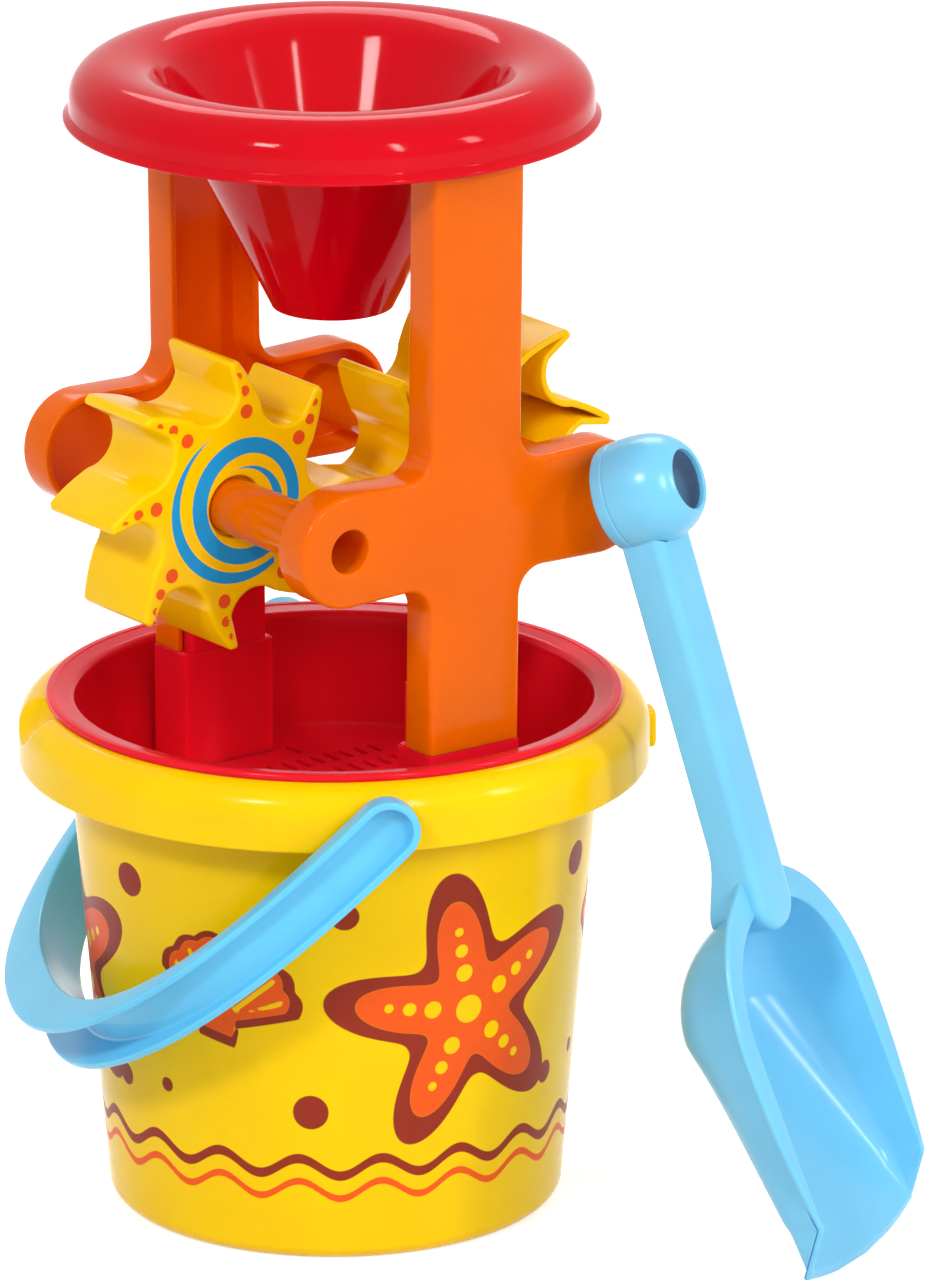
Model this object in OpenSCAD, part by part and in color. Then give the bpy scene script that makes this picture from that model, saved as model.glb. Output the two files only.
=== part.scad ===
// Sand wheel toy: bucket with bail, sieve tray, mill frame with two scoop wheels, funnel and shovel.
// Millimetres, +Z up. The origin is the centre of the bucket's base, and the mill's front faces -Y.
// The two frame halves are one moulding used twice, and so are the two wheels.

/* [Bucket] */
// Outer radius of the wall, carried down to the ground
bucket_base_r = 64.7; // [62:0.1:66]
// Outer radius of the wall at the height of the rim
bucket_top_r = 77.2; // [76:0.1:78.5]
// Height of the rim's flat top
bucket_h = 148.5; // [140:0.5:160]
// Thickness of the wall, the rim and its skirt
bucket_wall = 2; // [1.5:0.1:2.5]
// Thickness of the floor
bucket_floor = 2.4; // [1.5:0.1:4]
// Outer radius of the corner between wall and floor
bucket_foot_r = 8; // [4:0.5:12]
// Reach of the rim's hanging skirt past the wall
rim_w = 12.8; // [11:0.1:16]
// Width of the rim's round shoulder
rim_shoulder_w = 8; // [5:0.5:9]
// Height of the rim's round shoulder
rim_shoulder_h = 8.5; // [5:0.5:10]
// Height of the rim from its top to the skirt's lower edge
rim_h = 18.5; // [16:0.5:26]
// Turn of the bucket under the mill, in degrees
bucket_turn = 27.2; // [0:0.2:45]

/* [Spout and tab] */
// Radius of the spout's channel
spout_r = 16; // [12:0.5:20]
// Drop of the spout's floor from the rim's top to the skirt's face
spout_drop = 10.5; // [7:0.5:13]
// Thickness of the channel's wall
spout_wall = 2.2; // [1.5:0.1:3]
// Width of the tab opposite the spout
tab_w = 8; // [4:0.5:14]
// Height of the tab
tab_h = 11.5; // [8:0.5:14]
// Drop of the tab's top from the rim's top
tab_drop = 9; // [8.5:0.5:11]
// Reach of the tab's top past the skirt
tab_out = 3; // [2:0.1:5]
// Narrowing of the tab from top to bottom
tab_taper = 0.8; // [0:0.1:1.5]

/* [Bail] */
// Reach of the bail from its pivots to its crown
bail_reach = 122; // [115:0.5:128]
// Radial width of the bail at its ends
bail_end_w = 7.1; // [6:0.1:9]
// Radial width of the bail at its crown
bail_crown_w = 15; // [10:0.5:18]
// Width of the bail's band
bail_band_w = 18; // [14:0.5:20]
// Thickness of the bail's two flanges
bail_flange = 2.2; // [1.6:0.1:3]
// Thickness of the bail's web, on the bucket's side
bail_web = 2.5; // [1.6:0.1:3.5]
// Clearance between the bail's ends and the bucket's skirt
bail_gap = 0.7; // [0.5:0.1:1.5]
// Drop of the pivots from the rim's top
bail_drop = 10.2; // [9.5:0.1:11.5]
// Clearance between the resting bail's crown and the bucket's wall
bail_rest = 1.7; // [1.4:0.1:5]
// Diameter of the pegs
peg_d = 7.9; // [6:0.1:9]
// Radial clearance of the pegs in the skirt's holes
peg_gap = 0.05; // [0.02:0.01:0.1]
// Diameter of the pegs' snap heads
peg_head_d = 9.2; // [8.5:0.1:9.6]
// Length of the snap heads
peg_head_l = 2.4; // [1.5:0.1:4]
// Play between the snap heads and the skirt
peg_play = 1; // [0.8:0.1:1.2]

/* [Sieve tray] */
// Reach of the tray's rim past the bucket's wall
tray_rim_w = 5; // [3:0.1:6]
// Height of the tray's rim over the bucket's
tray_rim_h = 2.1; // [1.6:0.1:4]
// Width of the raised outer lip
tray_lip_w = 2.7; // [1.5:0.1:4]
// Drop of the sloping band inside the lip
tray_band_drop = 0.9; // [0:0.1:1]
// Gap between the tray's wall and the bucket's
tray_gap = 0.4; // [0.3:0.1:1]
// Thickness of the tray's wall
tray_wall = 2; // [1.5:0.1:2.5]
// Depth of the tray's floor below the bucket's rim
tray_depth = 33.5; // [28:0.5:45]
// Thickness of the tray's floor
tray_floor = 2; // [1.5:0.1:3]
// Inner radius of the corner between wall and floor
tray_foot_r = 5; // [3:0.5:8]
// Width of a sieve slot
slot_w = 2; // [1.5:0.1:2.5]
// Length of a sieve slot
slot_l = 8; // [5:0.5:9]
// Spacing of the slots across their length
slot_pitch = 5; // [4:0.1:7]
// Spacing of the rows of slots
slot_row_pitch = 12; // [11:0.5:16]
// Radius of the field of slots
slot_field_r = 58; // [40:1:60]
// Depth of the posts that carry the frame, from front to back
post_depth = 16; // [14:0.5:18]
// Height of the posts' plugs inside the columns
plug_h = 18; // [10:0.5:30]
// Clearance between plug and column
plug_gap = 0.3; // [0.2:0.05:0.5]
// Thickness of the posts' walls
post_wall = 2; // [1.5:0.1:2.5]

/* [Frame] */
// Width of a column
column_w = 31; // [28:0.5:33]
// Depth of a column from its outer face to its open edge
column_depth = 12; // [9:0.5:14]
// Distance of the columns' outer faces inside the bucket's wall, at their feet
column_inset = 10.2; // [9.7:0.1:11.2]
// Splay of the columns, in degrees
column_splay = 0.92; // [0:0.02:1]
// Height of the columns
column_h = 175.8; // [165:0.1:185]
// Lift of the columns' feet over the bucket's rim
foot_lift = 1.3; // [0.5:0.1:3]
// Thickness of the frame's walls
frame_wall = 2.2; // [1.8:0.1:2.6]
// Height of the wheels' axis over the columns' feet
axle_rise = 65.3; // [60:0.1:72]
// Distance of the wheels' tips from the middle
wheel_side_gap = 1.5; // [1:0.1:6]
// Radius of the arms' round ends
arm_end_r = 16.5; // [14:0.1:18]
// Height of the arms at the column
arm_h = 30.6; // [26:0.1:32]
// Radius of the corners between arms and column
arm_corner_r = 8; // [4:0.5:10]
// Outer diameter of the tubes that carry the wheels
tube_d = 16; // [14:0.1:17]
// Bore of the tubes
tube_bore_d = 12.6; // [10:0.1:13]
// Wall of the sockets that take the tubes' ends
socket_wall = 2.3; // [1.6:0.1:3]
// Depth of the tubes' ends in the sockets
socket_depth = 20; // [10:0.5:30]
// Radial clearance between a tube and its socket
socket_gap = 0.05; // [0.02:0.01:0.1]

/* [Scoop wheels] */
// Radius over the wheels' tips
wheel_tip_r = 42.2; // [38:0.1:42.4]
// Depth of the scoops below the tips
scoop_in = 16.2; // [14:0.1:17]
// Number of scoops on a wheel
scoop_count = 8; // [7:1:8]
// Radius of a scoop
scoop_r = 9.3; // [8:0.1:10]
// Bulge of a tooth's back
tooth_bulge = 0.65; // [0:0.05:1]
// Radius of the teeth's rounded tips
tooth_tip_r = 1.4; // [1:0.1:1.6]
// Width of a wheel
wheel_w = 30.6; // [26:0.1:36]
// Distance of a wheel's closed face from the middle
wheel_face = 13.3; // [11:0.1:16]
// Thickness of a wheel's walls
wheel_wall = 2; // [1.5:0.1:2.5]
// Wall of a wheel's hub
hub_wall = 2.2; // [1.6:0.1:3]
// Radial clearance of a hub on its tube
hub_gap = 0.05; // [0.02:0.01:0.1]
// Extra radius of the hole in a wheel's closed face
hub_relief = 0.9; // [0.3:0.1:1.5]
// Running gap between a hub and its socket
wheel_play = 0.3; // [0.3:0.05:1]
// Turn of the left wheel, in degrees
left_wheel_turn = 1; // [-22:0.5:22]
// Turn of the right wheel, in degrees
right_wheel_turn = -3.5; // [-22:0.5:22]

/* [Funnel] */
// Reach of the funnel's ring past the columns' outer faces
ring_overhang = 4.2; // [4:0.1:8]
// Width of the ring's round shoulder
ring_shoulder_w = 12; // [10:0.5:14]
// Height of the crest over the columns' tops
crest_rise = 9.9; // [9:0.1:14]
// Height of the ring's round shoulder
shoulder_h = 10.5; // [9.5:0.5:12]
// Height of the ring from its crest to its lower edge
ring_h = 17; // [15:0.5:24]
// Width of the lip at the ring's lower edge
lip_w = 1.7; // [0.5:0.1:3]
// Height of the lip
lip_h = 1.9; // [1:0.1:4]
// Height of the rounded brim inside the crest
brim_h = 8; // [6:0.5:9]
// Width of the rounded brim
brim_w = 14.85; // [12:0.05:17]
// Outer radius of the spout at the funnel's bottom
outlet_r = 17.3; // [12:0.1:24]
// Height of the funnel from its crest to its outlet
funnel_h = 72; // [60:0.5:76]
// Thickness of the funnel's wall
funnel_wall = 2; // [1.5:0.1:2.4]
// Thickness of the ribs under the ring
rib_t = 2; // [1.5:0.1:3]
// Depth of the guide ribs beside a column, below its top
rib_drop = 5.5; // [3:0.5:6.5]
// Clearance between the guide ribs and a column
rib_gap = 0.4; // [0.3:0.1:1]
// Distance of the two stop ribs over a column from its middle
stop_rib_x = 8; // [4:0.5:11]

/* [Shovel] */
// Diameter of the shovel's round head
head_d = 31.8; // [29:0.1:34]
// Diameter of the hole in the head
head_hole_d = 17.2; // [10:0.1:17.4]
// Length of the head, along its hole
head_l = 25; // [20:0.1:26]
// Height of the head's front over the plane of the scoop's rim
head_front = 23; // [20:0.5:25]
// Radius of the head's rounded front edge
head_round_r = 7; // [4:0.1:7]
// Width of the handle
grip_w = 18; // [15:0.5:20]
// Radius of the handle's rounded front edges
grip_round_r = 5; // [3:0.5:6]
// Height of the handle's front over the plane of the rim
grip_front = 3; // [2:0.5:5]
// Thickness of the handle
grip_t = 12.8; // [11:0.1:15]
// Thickness of the handle where it meets the scoop
grip_root_t = 22; // [16:0.5:24]
// Tilt of the handle against the plane of the rim, in degrees
grip_tilt = 5.4; // [3:0.1:7]
// Wall of the handle's channel
grip_wall = 2.2; // [1.8:0.1:3]
// Length of the handle's tongue inside the scoop
tongue_l = 25; // [20:0.5:30]
// Length of the scoop from the back of its rim to the blade's corners
scoop_l = 118.5; // [114:0.5:123]
// Distance of the scoop's widest place from the blade's corners
scoop_wide_l = 66; // [62:0.5:70]
// Length of the slanted ends of the scoop's side walls
scoop_cut_l = 13.5; // [10:0.5:17]
// Half width of the scoop over its rim
scoop_half_w = 37; // [34:0.1:39]
// Width of the rim's flange
flange_w = 4.5; // [3:0.1:6]
// Depth of the scoop below its rim
scoop_depth = 32.5; // [28:0.5:36]
// Depth of the blade's corners below the rim
blade_depth = 10.5; // [8:0.5:13]
// Bow of the blade's front edge
blade_bow = 4.5; // [3:0.5:8]
// Thickness of the scoop's walls
shovel_wall = 2; // [1.6:0.1:2.6]
// Lift of the head's middle over the wheels' axis, at the plane of the rim
head_lift = 1.7; // [0:0.1:4]
// Distance of the shovel's head to the right of the middle
shovel_x = 41.7; // [38:0.1:46]
// Clearance between the shovel's head and the arm that it leans on
lean_gap = 0.3; // [0.2:0.05:0.5]
// Clearance between the middle of the blade's edge and the ground
ground_gap = 0.35; // [0.25:0.05:0.5]
// Lean of the shovel: dip of its length below level, in degrees
shovel_lean = 68.3; // [66:0.1:70]
// Heading of the shovel's blade, in degrees
shovel_heading = -56.9; // [-60:0.1:-54]
// Roll of the shovel about its length, in degrees
shovel_roll = 9.5; // [7:0.1:12]

/* [Hidden] */
$fn = 96;
// Facets of small round edges and of the bail's curves
edge_steps = 10;
curve_steps = 40;
// Overrun of every cut
over = 1;

// Outer radius of the bucket's wall at a height
function bucket_r(z) = bucket_base_r + (bucket_top_r - bucket_base_r) * z / bucket_h;
wall_lean = atan((bucket_top_r - bucket_base_r) / bucket_h);
rim_r = bucket_top_r + rim_w;
rim_flat_r = rim_r - rim_shoulder_w;
skirt_z = bucket_h - rim_h;
pivot_z = bucket_h - bail_drop;
spout_slope = atan(spout_drop / (rim_r - bucket_top_r));

// Bail: the inner curve clears the skirt, the outer one gives the ends and the crown their widths
bail_in = rim_r + bail_gap;
bail_out = bail_in + bail_end_w;
bail_outer_power = 2.22;
bail_inner_power = 2.5;

// The bail hangs until its crown's lower inner edge meets the wall, which leans by this much
wall_rise = (bucket_top_r - bucket_base_r) / bucket_h;
crown_in = bail_reach - bail_crown_w;
crown_cos = crown_in + wall_rise * bail_band_w / 2;
crown_sin = wall_rise * crown_in - bail_band_w / 2;
bail_tilt = atan2(crown_sin, crown_cos)
  + acos((bucket_base_r + wall_rise * pivot_z + bail_rest) / norm([crown_cos, crown_sin]));

// Tray: heights of the floor and the posts, which share the columns' outline
tray_rim_r = bucket_top_r + tray_rim_w;
tray_floor_z = bucket_h - tray_depth;
tray_rim_z = bucket_h + tray_rim_h;
tray_taper_share = 0.35;
foot_z = bucket_h + foot_lift;
column_out = bucket_top_r - column_inset;
post_in = column_out - post_depth;

// Frame
axle_x = wheel_tip_r + wheel_side_gap;
column_top_z = foot_z + column_h;
axle_z = foot_z + axle_rise;
column_open = column_out - column_depth;
wheel_open = wheel_w - wheel_face;
socket_face = wheel_open + wheel_play;
function splay(z) = (z - foot_z) * tan(column_splay);

// Scoop wheel: angles of the scoop behind its tip and of the two ends of its arc, in degrees
scoop_turn = 12;
hook_end = 255;
back_end = 139;
tip_turn = 1.2;
back_turn = 43;
hub_r = tube_d / 2 + hub_gap;
wheel_root_r = wheel_tip_r - scoop_in;
scoop_centre = (wheel_root_r + scoop_r) * [cos(scoop_turn), sin(scoop_turn)];

// Funnel
ring_r = column_out + splay(column_top_z) + ring_overhang;
crest_r = ring_r - ring_shoulder_w;
crest_z = column_top_z + crest_rise;
ring_z = crest_z - ring_h;
outlet_z = crest_z - funnel_h;
brim_end = 75;

// Shovel: its handle is as long as it has to be, from a blade on the ground to a head beside the arm
shovel_z = axle_z + head_lift;
blade_rise = (blade_depth + shovel_wall) * cos(shovel_roll) * cos(shovel_lean);
scoop_corner = (shovel_z - ground_gap - blade_rise) / sin(shovel_lean) - blade_bow;
scoop_start = scoop_corner - scoop_l;
scoop_wide = scoop_corner - scoop_wide_l;
scoop_side_end = scoop_corner - scoop_cut_l;
grip_l = scoop_start + tongue_l;

// Half lengths of the rim's and the bowl's ellipses, as shares of the scoop's lengths
back_len = scoop_wide - scoop_start;
rim_back_share = 1.06;
rim_front_share = 1.92;
bowl_back_share = 0.63;
bowl_mid_share = 0.895;
edge_flange_share = 0.1;
bowl_power = 3.6;
bowl_draft_share = 0.12;
bowl_steps = 22;
station_steps = 26;

// Place of the shovel's head, whose back meets the arm
head_back = head_front - head_l;
head_dir_y = cos(shovel_roll) * sin(shovel_lean) * sin(shovel_heading) - sin(shovel_roll) * cos(shovel_heading);
head_dir_z = cos(shovel_roll) * cos(shovel_lean);
head_across = sqrt(1 - head_dir_y * head_dir_y);
touch_y = head_back * head_dir_y + head_across * head_d / 2;
touch_z = shovel_z + head_back * head_dir_z - head_dir_y * head_dir_z / head_across * head_d / 2;
shovel_y = column_out + splay(touch_z) + lean_gap + touch_y;

// Points on an arc or an oval about c, from angle a to angle b
function oval(c, rx, ry, a, b, n) = [for (i = [0 : n]) let (t = a + (b - a) * i / n) c + [rx * cos(t), ry * sin(t)]];
function arc(c, r, a, b, n) = oval(c, r, r, a, b, n);

// Points from p to q on a shallow curve that stands out to the right by the bulge
function bow(p, q, bulge, n) =
  let (d = (q - p) / norm(q - p))
  [for (i = [0 : n]) let (t = i / n) p + (q - p) * t + 4 * bulge * t * (1 - t) * [d[1], -d[0]]];

// Half of a superellipse of half width a and reach b, from +a round to -a
function loop(a, b, power, n) =
  [for (i = [0 : n]) let (t = 180 * i / n)
    [a * sign(cos(t)) * pow(abs(cos(t)), 2 / power), b * pow(abs(sin(t)), 2 / power)]];

// Centre of the foot's arc, which touches the floor and the leaning wall
function foot_x(r) = bucket_r(r) - r / cos(wall_lean);

function reverse(list) = [for (i = [len(list) - 1 : -1 : 0]) list[i]];

module bucket_shell() {
  inner_r = bucket_foot_r - bucket_wall;
  rotate_extrude($fn = 144)
    polygon(concat(
      [[0, 0]],
      arc([foot_x(bucket_foot_r), bucket_foot_r], bucket_foot_r, -90, -wall_lean, edge_steps),
      [[bucket_r(bucket_h - bucket_wall), bucket_h - bucket_wall]],
      oval([rim_flat_r, bucket_h - rim_shoulder_h], rim_shoulder_w - bucket_wall,
        rim_shoulder_h - bucket_wall, 90, 0, edge_steps),
      [[rim_r - bucket_wall, skirt_z], [rim_r, skirt_z]],
      oval([rim_flat_r, bucket_h - rim_shoulder_h], rim_shoulder_w, rim_shoulder_h, 0, 90, edge_steps),
      [[bucket_top_r - bucket_wall, bucket_h]],
      arc([foot_x(inner_r) - bucket_wall, bucket_floor + inner_r], inner_r, -wall_lean, -90, edge_steps),
      [[0, bucket_floor]]));
}

// The rim's outline filled in from the bucket's wall to the skirt, for the spout to be cut from
module rim_fill() {
  rotate_extrude($fn = 144)
    polygon(concat(
      [[bucket_r(skirt_z) - bucket_wall / 2, skirt_z], [rim_r, skirt_z]],
      oval([rim_flat_r, bucket_h - rim_shoulder_h], rim_shoulder_w, rim_shoulder_h, 0, 90, edge_steps),
      [[bucket_top_r - bucket_wall / 2, bucket_h]]));
}

// Round channel of radius r + wall along the spout, its floor rising from the skirt to the rim's top
module spout_channel(wall) {
  length = 2 * rim_w;
  translate([-rim_r, 0, bucket_h - spout_drop])
    rotate([0, -spout_slope, 0])
      translate([0, 0, spout_r])
        rotate([0, 90, 0])
          cylinder(r = spout_r + wall, h = 2 * length, center = true);
}

module tab() {
  top = bucket_h - tab_drop;
  base = rim_r - bucket_wall / 2;
  rotate([90, 0, 0])
    linear_extrude(height = tab_w, center = true)
      polygon(concat(
        [[base, top - tab_h], [rim_r + tab_out - tab_taper, top - tab_h]],
        arc([rim_r + tab_out / 2, top - tab_out / 2], tab_out / 2, 0, 90, edge_steps),
        [[base, top]]));
}

module bucket() {
  hole_r = peg_d / 2 + peg_gap;
  color("gold")
    rotate([0, 0, -bucket_turn])
      difference() {
        union() {
          bucket_shell();
          intersection() {
            rim_fill();
            spout_channel(spout_wall);
          }
          tab();
        }
        spout_channel(0);
        for (side = [-1, 1])
          translate([0, side * (rim_r - bucket_wall / 2), pivot_z])
            rotate([90, 0, 0])
              cylinder(r = hole_r, h = 2 * bucket_wall + 2 * over, center = true);
      }
}

// Band of the bail between its outer curve and a curve that lies a wall outside the inner one
module bail_band(wall, height) {
  outer = loop(bail_out, bail_reach, bail_outer_power, curve_steps);
  inner = loop(bail_in + wall, crown_in + wall, bail_inner_power, curve_steps);
  grow = wall > 0 ? over : 0;
  outline = [for (p = outer) p * (1 + grow / bail_out)];
  linear_extrude(height = height, center = true)
    polygon(concat(outline, reverse(inner)));
}

// Round end of the bail about its peg, from a wall off the skirt outwards
module bail_end(side, r, wall) {
  grow = wall > 0 ? over : 0;
  translate([side * (bail_in + wall), 0, 0])
    rotate([0, side * 90, 0])
      cylinder(r = r, h = bail_end_w - wall + grow);
}

module peg(side) {
  skirt_in = rim_r - bucket_wall - peg_play;
  translate([side * bail_in, 0, 0])
    rotate([0, -side * 90, 0]) {
      cylinder(d = peg_d, h = bail_in - skirt_in + peg_head_l);
      translate([0, 0, bail_in - skirt_in])
        cylinder(d1 = peg_head_d, d2 = peg_d, h = peg_head_l);
    }
}

module bucket_handle() {
  half_w = bail_band_w / 2;
  color("skyblue")
    rotate([0, 0, -bucket_turn])
      translate([0, 0, pivot_z])
        rotate([0, -bail_tilt, 0])
          rotate([0, 0, 90]) {
            difference() {
              union() {
                bail_band(0, bail_band_w);
                for (side = [-1, 1])
                  bail_end(side, half_w, 0);
              }
              bail_band(bail_web, bail_band_w - 2 * bail_flange);
              for (side = [-1, 1])
                bail_end(side, half_w - bail_flange, bail_web);
            }
            for (side = [-1, 1])
              peg(side);
          }
}

module tray_shell() {
  out_x = bucket_wall + tray_gap;
  in_x = out_x + tray_wall;
  outer_r = tray_foot_r + tray_wall;
  under_z = tray_floor_z - tray_floor;
  rotate_extrude($fn = 144)
    polygon(concat(
      [[0, under_z]],
      arc([bucket_r(under_z + outer_r) - out_x - outer_r, under_z + outer_r], outer_r, -90, 0, edge_steps),
      [
        [bucket_r(bucket_h) - out_x, bucket_h],
        [tray_rim_r, bucket_h]
      ],
      arc([tray_rim_r - tray_rim_h / 2, tray_rim_z - tray_rim_h / 2], tray_rim_h / 2, 0, 90, edge_steps),
      [
        [tray_rim_r - tray_lip_w, tray_rim_z],
        [tray_rim_r - tray_lip_w, tray_rim_z - tray_band_drop * tray_taper_share],
        [bucket_top_r - out_x, tray_rim_z - tray_band_drop],
        [bucket_r(bucket_h) - in_x, bucket_h - tray_wall]
      ],
      arc([bucket_r(tray_floor_z + tray_foot_r) - in_x - tray_foot_r, tray_floor_z + tray_foot_r],
        tray_foot_r, 0, -90, edge_steps),
      [[0, tray_floor_z]]));
}

// Box between two faces, centred across
module post_box(width, near, far, low, high) {
  translate([-width / 2, near, low])
    cube([width, far - near, high - low]);
}

// The plug fills the column's mouth, its block is as wide as the column
module post(inset) {
  plug_w = column_w - 2 * (frame_wall + plug_gap + inset);
  low = tray_floor_z - tray_floor - (inset > 0 ? over : 0);
  post_box(column_w - 2 * inset, post_in + inset, column_out - inset, low, foot_z - inset);
  post_box(plug_w, post_in + inset, column_out - frame_wall - plug_gap - inset, low, foot_z + plug_h - inset);
}

module slots() {
  across = floor(slot_field_r / slot_pitch);
  along = floor(slot_field_r / slot_row_pitch);
  linear_extrude(height = tray_floor + 2 * over)
    for (i = [-across : across], k = [-along : along])
      if (norm([abs(i) * slot_pitch + slot_w / 2, abs(k) * slot_row_pitch + slot_l / 2]) < slot_field_r
          && !(abs(i) * slot_pitch < column_w / 2 + slot_w && abs(k) * slot_row_pitch > post_in - slot_l))
        translate([i * slot_pitch, k * slot_row_pitch])
          square([slot_w, slot_l], center = true);
}

module sieve_tray() {
  color("crimson")
    difference() {
      union() {
        tray_shell();
        for (turn = [0, 180])
          rotate([0, 0, turn])
            post(0);
      }
      for (turn = [0, 180])
        rotate([0, 0, turn])
          post(post_wall);
      translate([0, 0, tray_floor_z - tray_floor - over])
        slots();
    }
}

// Cross of column and arms seen from the front, drawn in by an inset; the foot stays open
module frame_outline(inset) {
  end_r = arm_end_r - inset;
  half_h = arm_h / 2 - inset;
  low = foot_z - (inset > 0 ? over : 0);
  offset(r = -arm_corner_r - inset)
    offset(delta = arm_corner_r + inset)
      union() {
        translate([inset - column_w / 2, low])
          square([column_w - 2 * inset, column_top_z - inset - low]);
        for (side = [-1, 1]) {
          translate([side * axle_x, axle_z])
            circle(r = end_r);
          polygon([[0, axle_z - half_h], [side * axle_x, axle_z - end_r],
            [side * axle_x, axle_z + end_r], [0, axle_z + half_h]]);
        }
      }
}

// Slab between two faces that splay outwards with height, over the whole width of the frame
module splayed_slab(near, far) {
  low = foot_z - over;
  high = column_top_z + over;
  rotate([90, 0, 90])
    linear_extrude(height = 4 * axle_x, center = true)
      polygon([[near + splay(low), low], [far + splay(low), low],
        [far + splay(high), high], [near + splay(high), high]]);
}

module outline_block(inset) {
  rotate([90, 0, 0])
    linear_extrude(height = 3 * column_out, center = true)
      frame_outline(inset);
}

module across_bore(x, r, near, far) {
  translate([x, near, axle_z])
    rotate([-90, 0, 0])
      cylinder(r = r, h = far - near);
}

// Half of the mill's frame, with its outer face at +Y. Its right arm carries the long tube that a
// wheel turns on, and its left arm the socket that takes the other half's tube.
module frame_half() {
  face = column_out + splay(axle_z);
  plate_in = face - frame_wall;
  plate_mid = face - frame_wall / 2;
  socket_r = tube_d / 2 + socket_gap;
  difference() {
    union() {
      difference() {
        intersection() {
          outline_block(0);
          splayed_slab(column_open, column_out);
        }
        intersection() {
          outline_block(frame_wall);
          splayed_slab(column_open - over, column_out - frame_wall);
        }
      }
      across_bore(axle_x, tube_d / 2, -socket_face - socket_depth, plate_mid);
      across_bore(-axle_x, socket_r + socket_wall, socket_face, plate_mid);
    }
    across_bore(axle_x, tube_bore_d / 2, -socket_face - socket_depth - over, face + over);
    across_bore(-axle_x, tube_bore_d / 2, socket_face, face + over);
    across_bore(-axle_x, socket_r, socket_face - over, plate_in);
  }
}

module front_frame() {
  color("darkorange")
    rotate([0, 0, 180])
      frame_half();
}

module rear_frame() {
  color("darkorange")
    frame_half();
}

// Space between two teeth: a hooked flank, a round scoop and the bulging back of the next tooth
module scoop_cut() {
  reach = wheel_tip_r + over;
  back = scoop_centre + scoop_r * [cos(back_end), sin(back_end)];
  tip = reach * [cos(back_turn), sin(back_turn)];
  polygon(concat(
    [reach * [cos(tip_turn), sin(tip_turn)]],
    arc(scoop_centre, scoop_r, hook_end, back_end, 2 * edge_steps),
    bow(back, tip, tooth_bulge, edge_steps),
    [(reach + tooth_tip_r) * [cos(back_turn / 2), sin(back_turn / 2)]]));
}

module wheel_outline() {
  offset(r = tooth_tip_r, $fn = 48)
    offset(delta = -tooth_tip_r)
      difference() {
        circle(r = wheel_tip_r);
        for (i = [0 : scoop_count - 1])
          rotate(i * 360 / scoop_count)
            scoop_cut();
      }
}

// Wheel about the Y axis with its closed face at -Y; its scoops are the outside of a thin shell
module scoop_wheel(turn) {
  translate([0, wheel_open, 0])
    rotate([90, 0, 0])
      rotate([0, 0, turn])
        difference() {
          union() {
            difference() {
              linear_extrude(height = wheel_w)
                wheel_outline();
              translate([0, 0, -over])
                linear_extrude(height = wheel_w - wheel_wall + over)
                  offset(delta = -wheel_wall)
                    wheel_outline();
            }
            cylinder(r = hub_r + hub_wall, h = wheel_w);
          }
          translate([0, 0, -over])
            cylinder(r = hub_r, h = wheel_w + 2 * over);
          translate([0, 0, wheel_w - wheel_wall])
            cylinder(r = hub_r + hub_relief, h = wheel_wall + over);
        }
}

module left_wheel() {
  color("gold")
    translate([-axle_x, 0, axle_z])
      scoop_wheel(left_wheel_turn);
}

module right_wheel() {
  color("gold")
    translate([axle_x, 0, axle_z])
      rotate([0, 0, 180])
        scoop_wheel(right_wheel_turn);
}

// Outer half of the ring and the brim inside its crest, drawn in from the top surface by an inset
function ring_line(inset) =
  oval([crest_r, crest_z - shoulder_h], ring_r - crest_r - inset, shoulder_h - inset, 0, 90, 2 * edge_steps);
function brim_line(inset) =
  oval([crest_r, crest_z - brim_h], brim_w - inset, brim_h - inset, 90, 90 + brim_end, edge_steps);

module funnel_shell() {
  lip_z = ring_z + lip_h;
  rotate_extrude($fn = 144)
    polygon(concat(
      [[outlet_r - funnel_wall, outlet_z], [outlet_r, outlet_z]],
      reverse(brim_line(funnel_wall)),
      reverse(ring_line(funnel_wall)),
      [
        [ring_r - funnel_wall, ring_z],
        [ring_r + lip_w, ring_z],
        [ring_r + lip_w, lip_z - lip_w / 2],
        [ring_r, lip_z + lip_w / 2]
      ],
      ring_line(0),
      brim_line(0)));
}

// The hollow under the ring, a little way into its wall, above a height
module ring_fill(low) {
  inset = funnel_wall / 2;
  rotate_extrude($fn = 144)
    polygon(concat(
      [[crest_r - brim_w + inset, low], [ring_r - inset, low]],
      ring_line(inset),
      brim_line(inset)));
}

// Ribs that hold the funnel on the columns: two beside each column and two that stand on its top
module column_ribs() {
  guide_x = column_w / 2 + rib_gap + rib_t / 2;
  guide_z = column_top_z - rib_drop;
  for (side = [-1, 1], x = [guide_x, stop_rib_x]) {
    low = x == guide_x ? guide_z : column_top_z;
    intersection() {
      ring_fill(low);
      translate([side * x - rib_t / 2, -ring_r, low])
        cube([rib_t, 2 * ring_r, shoulder_h + rib_drop]);
    }
  }
}

module funnel() {
  color("red")
    union() {
      funnel_shell();
      column_ribs();
    }
}

// Half width of the scoop over its rim, and depth of the bowl, at a distance along the shovel
function rim_half_w(l) =
  let (reach = back_len * (l < scoop_wide ? rim_back_share : rim_front_share))
  scoop_half_w * sqrt(1 - pow((l - scoop_wide) / reach, 2));
function bowl_depth(l, inset) =
  let (mid = scoop_start + back_len * bowl_mid_share, reach = back_len * bowl_back_share - inset)
  l < mid
    ? (scoop_depth - inset) * sqrt(max(0, 1 - pow((mid - l) / reach, 2)))
    : scoop_depth - inset - (scoop_depth - blade_depth) * (l - mid) / (scoop_corner - mid);
// Height of the side walls' edge: level along the rim, then falling to the blade's corner
function edge_n(l) = l < scoop_side_end ? 0 : -blade_depth * (l - scoop_side_end) / (scoop_corner - scoop_side_end);

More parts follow.
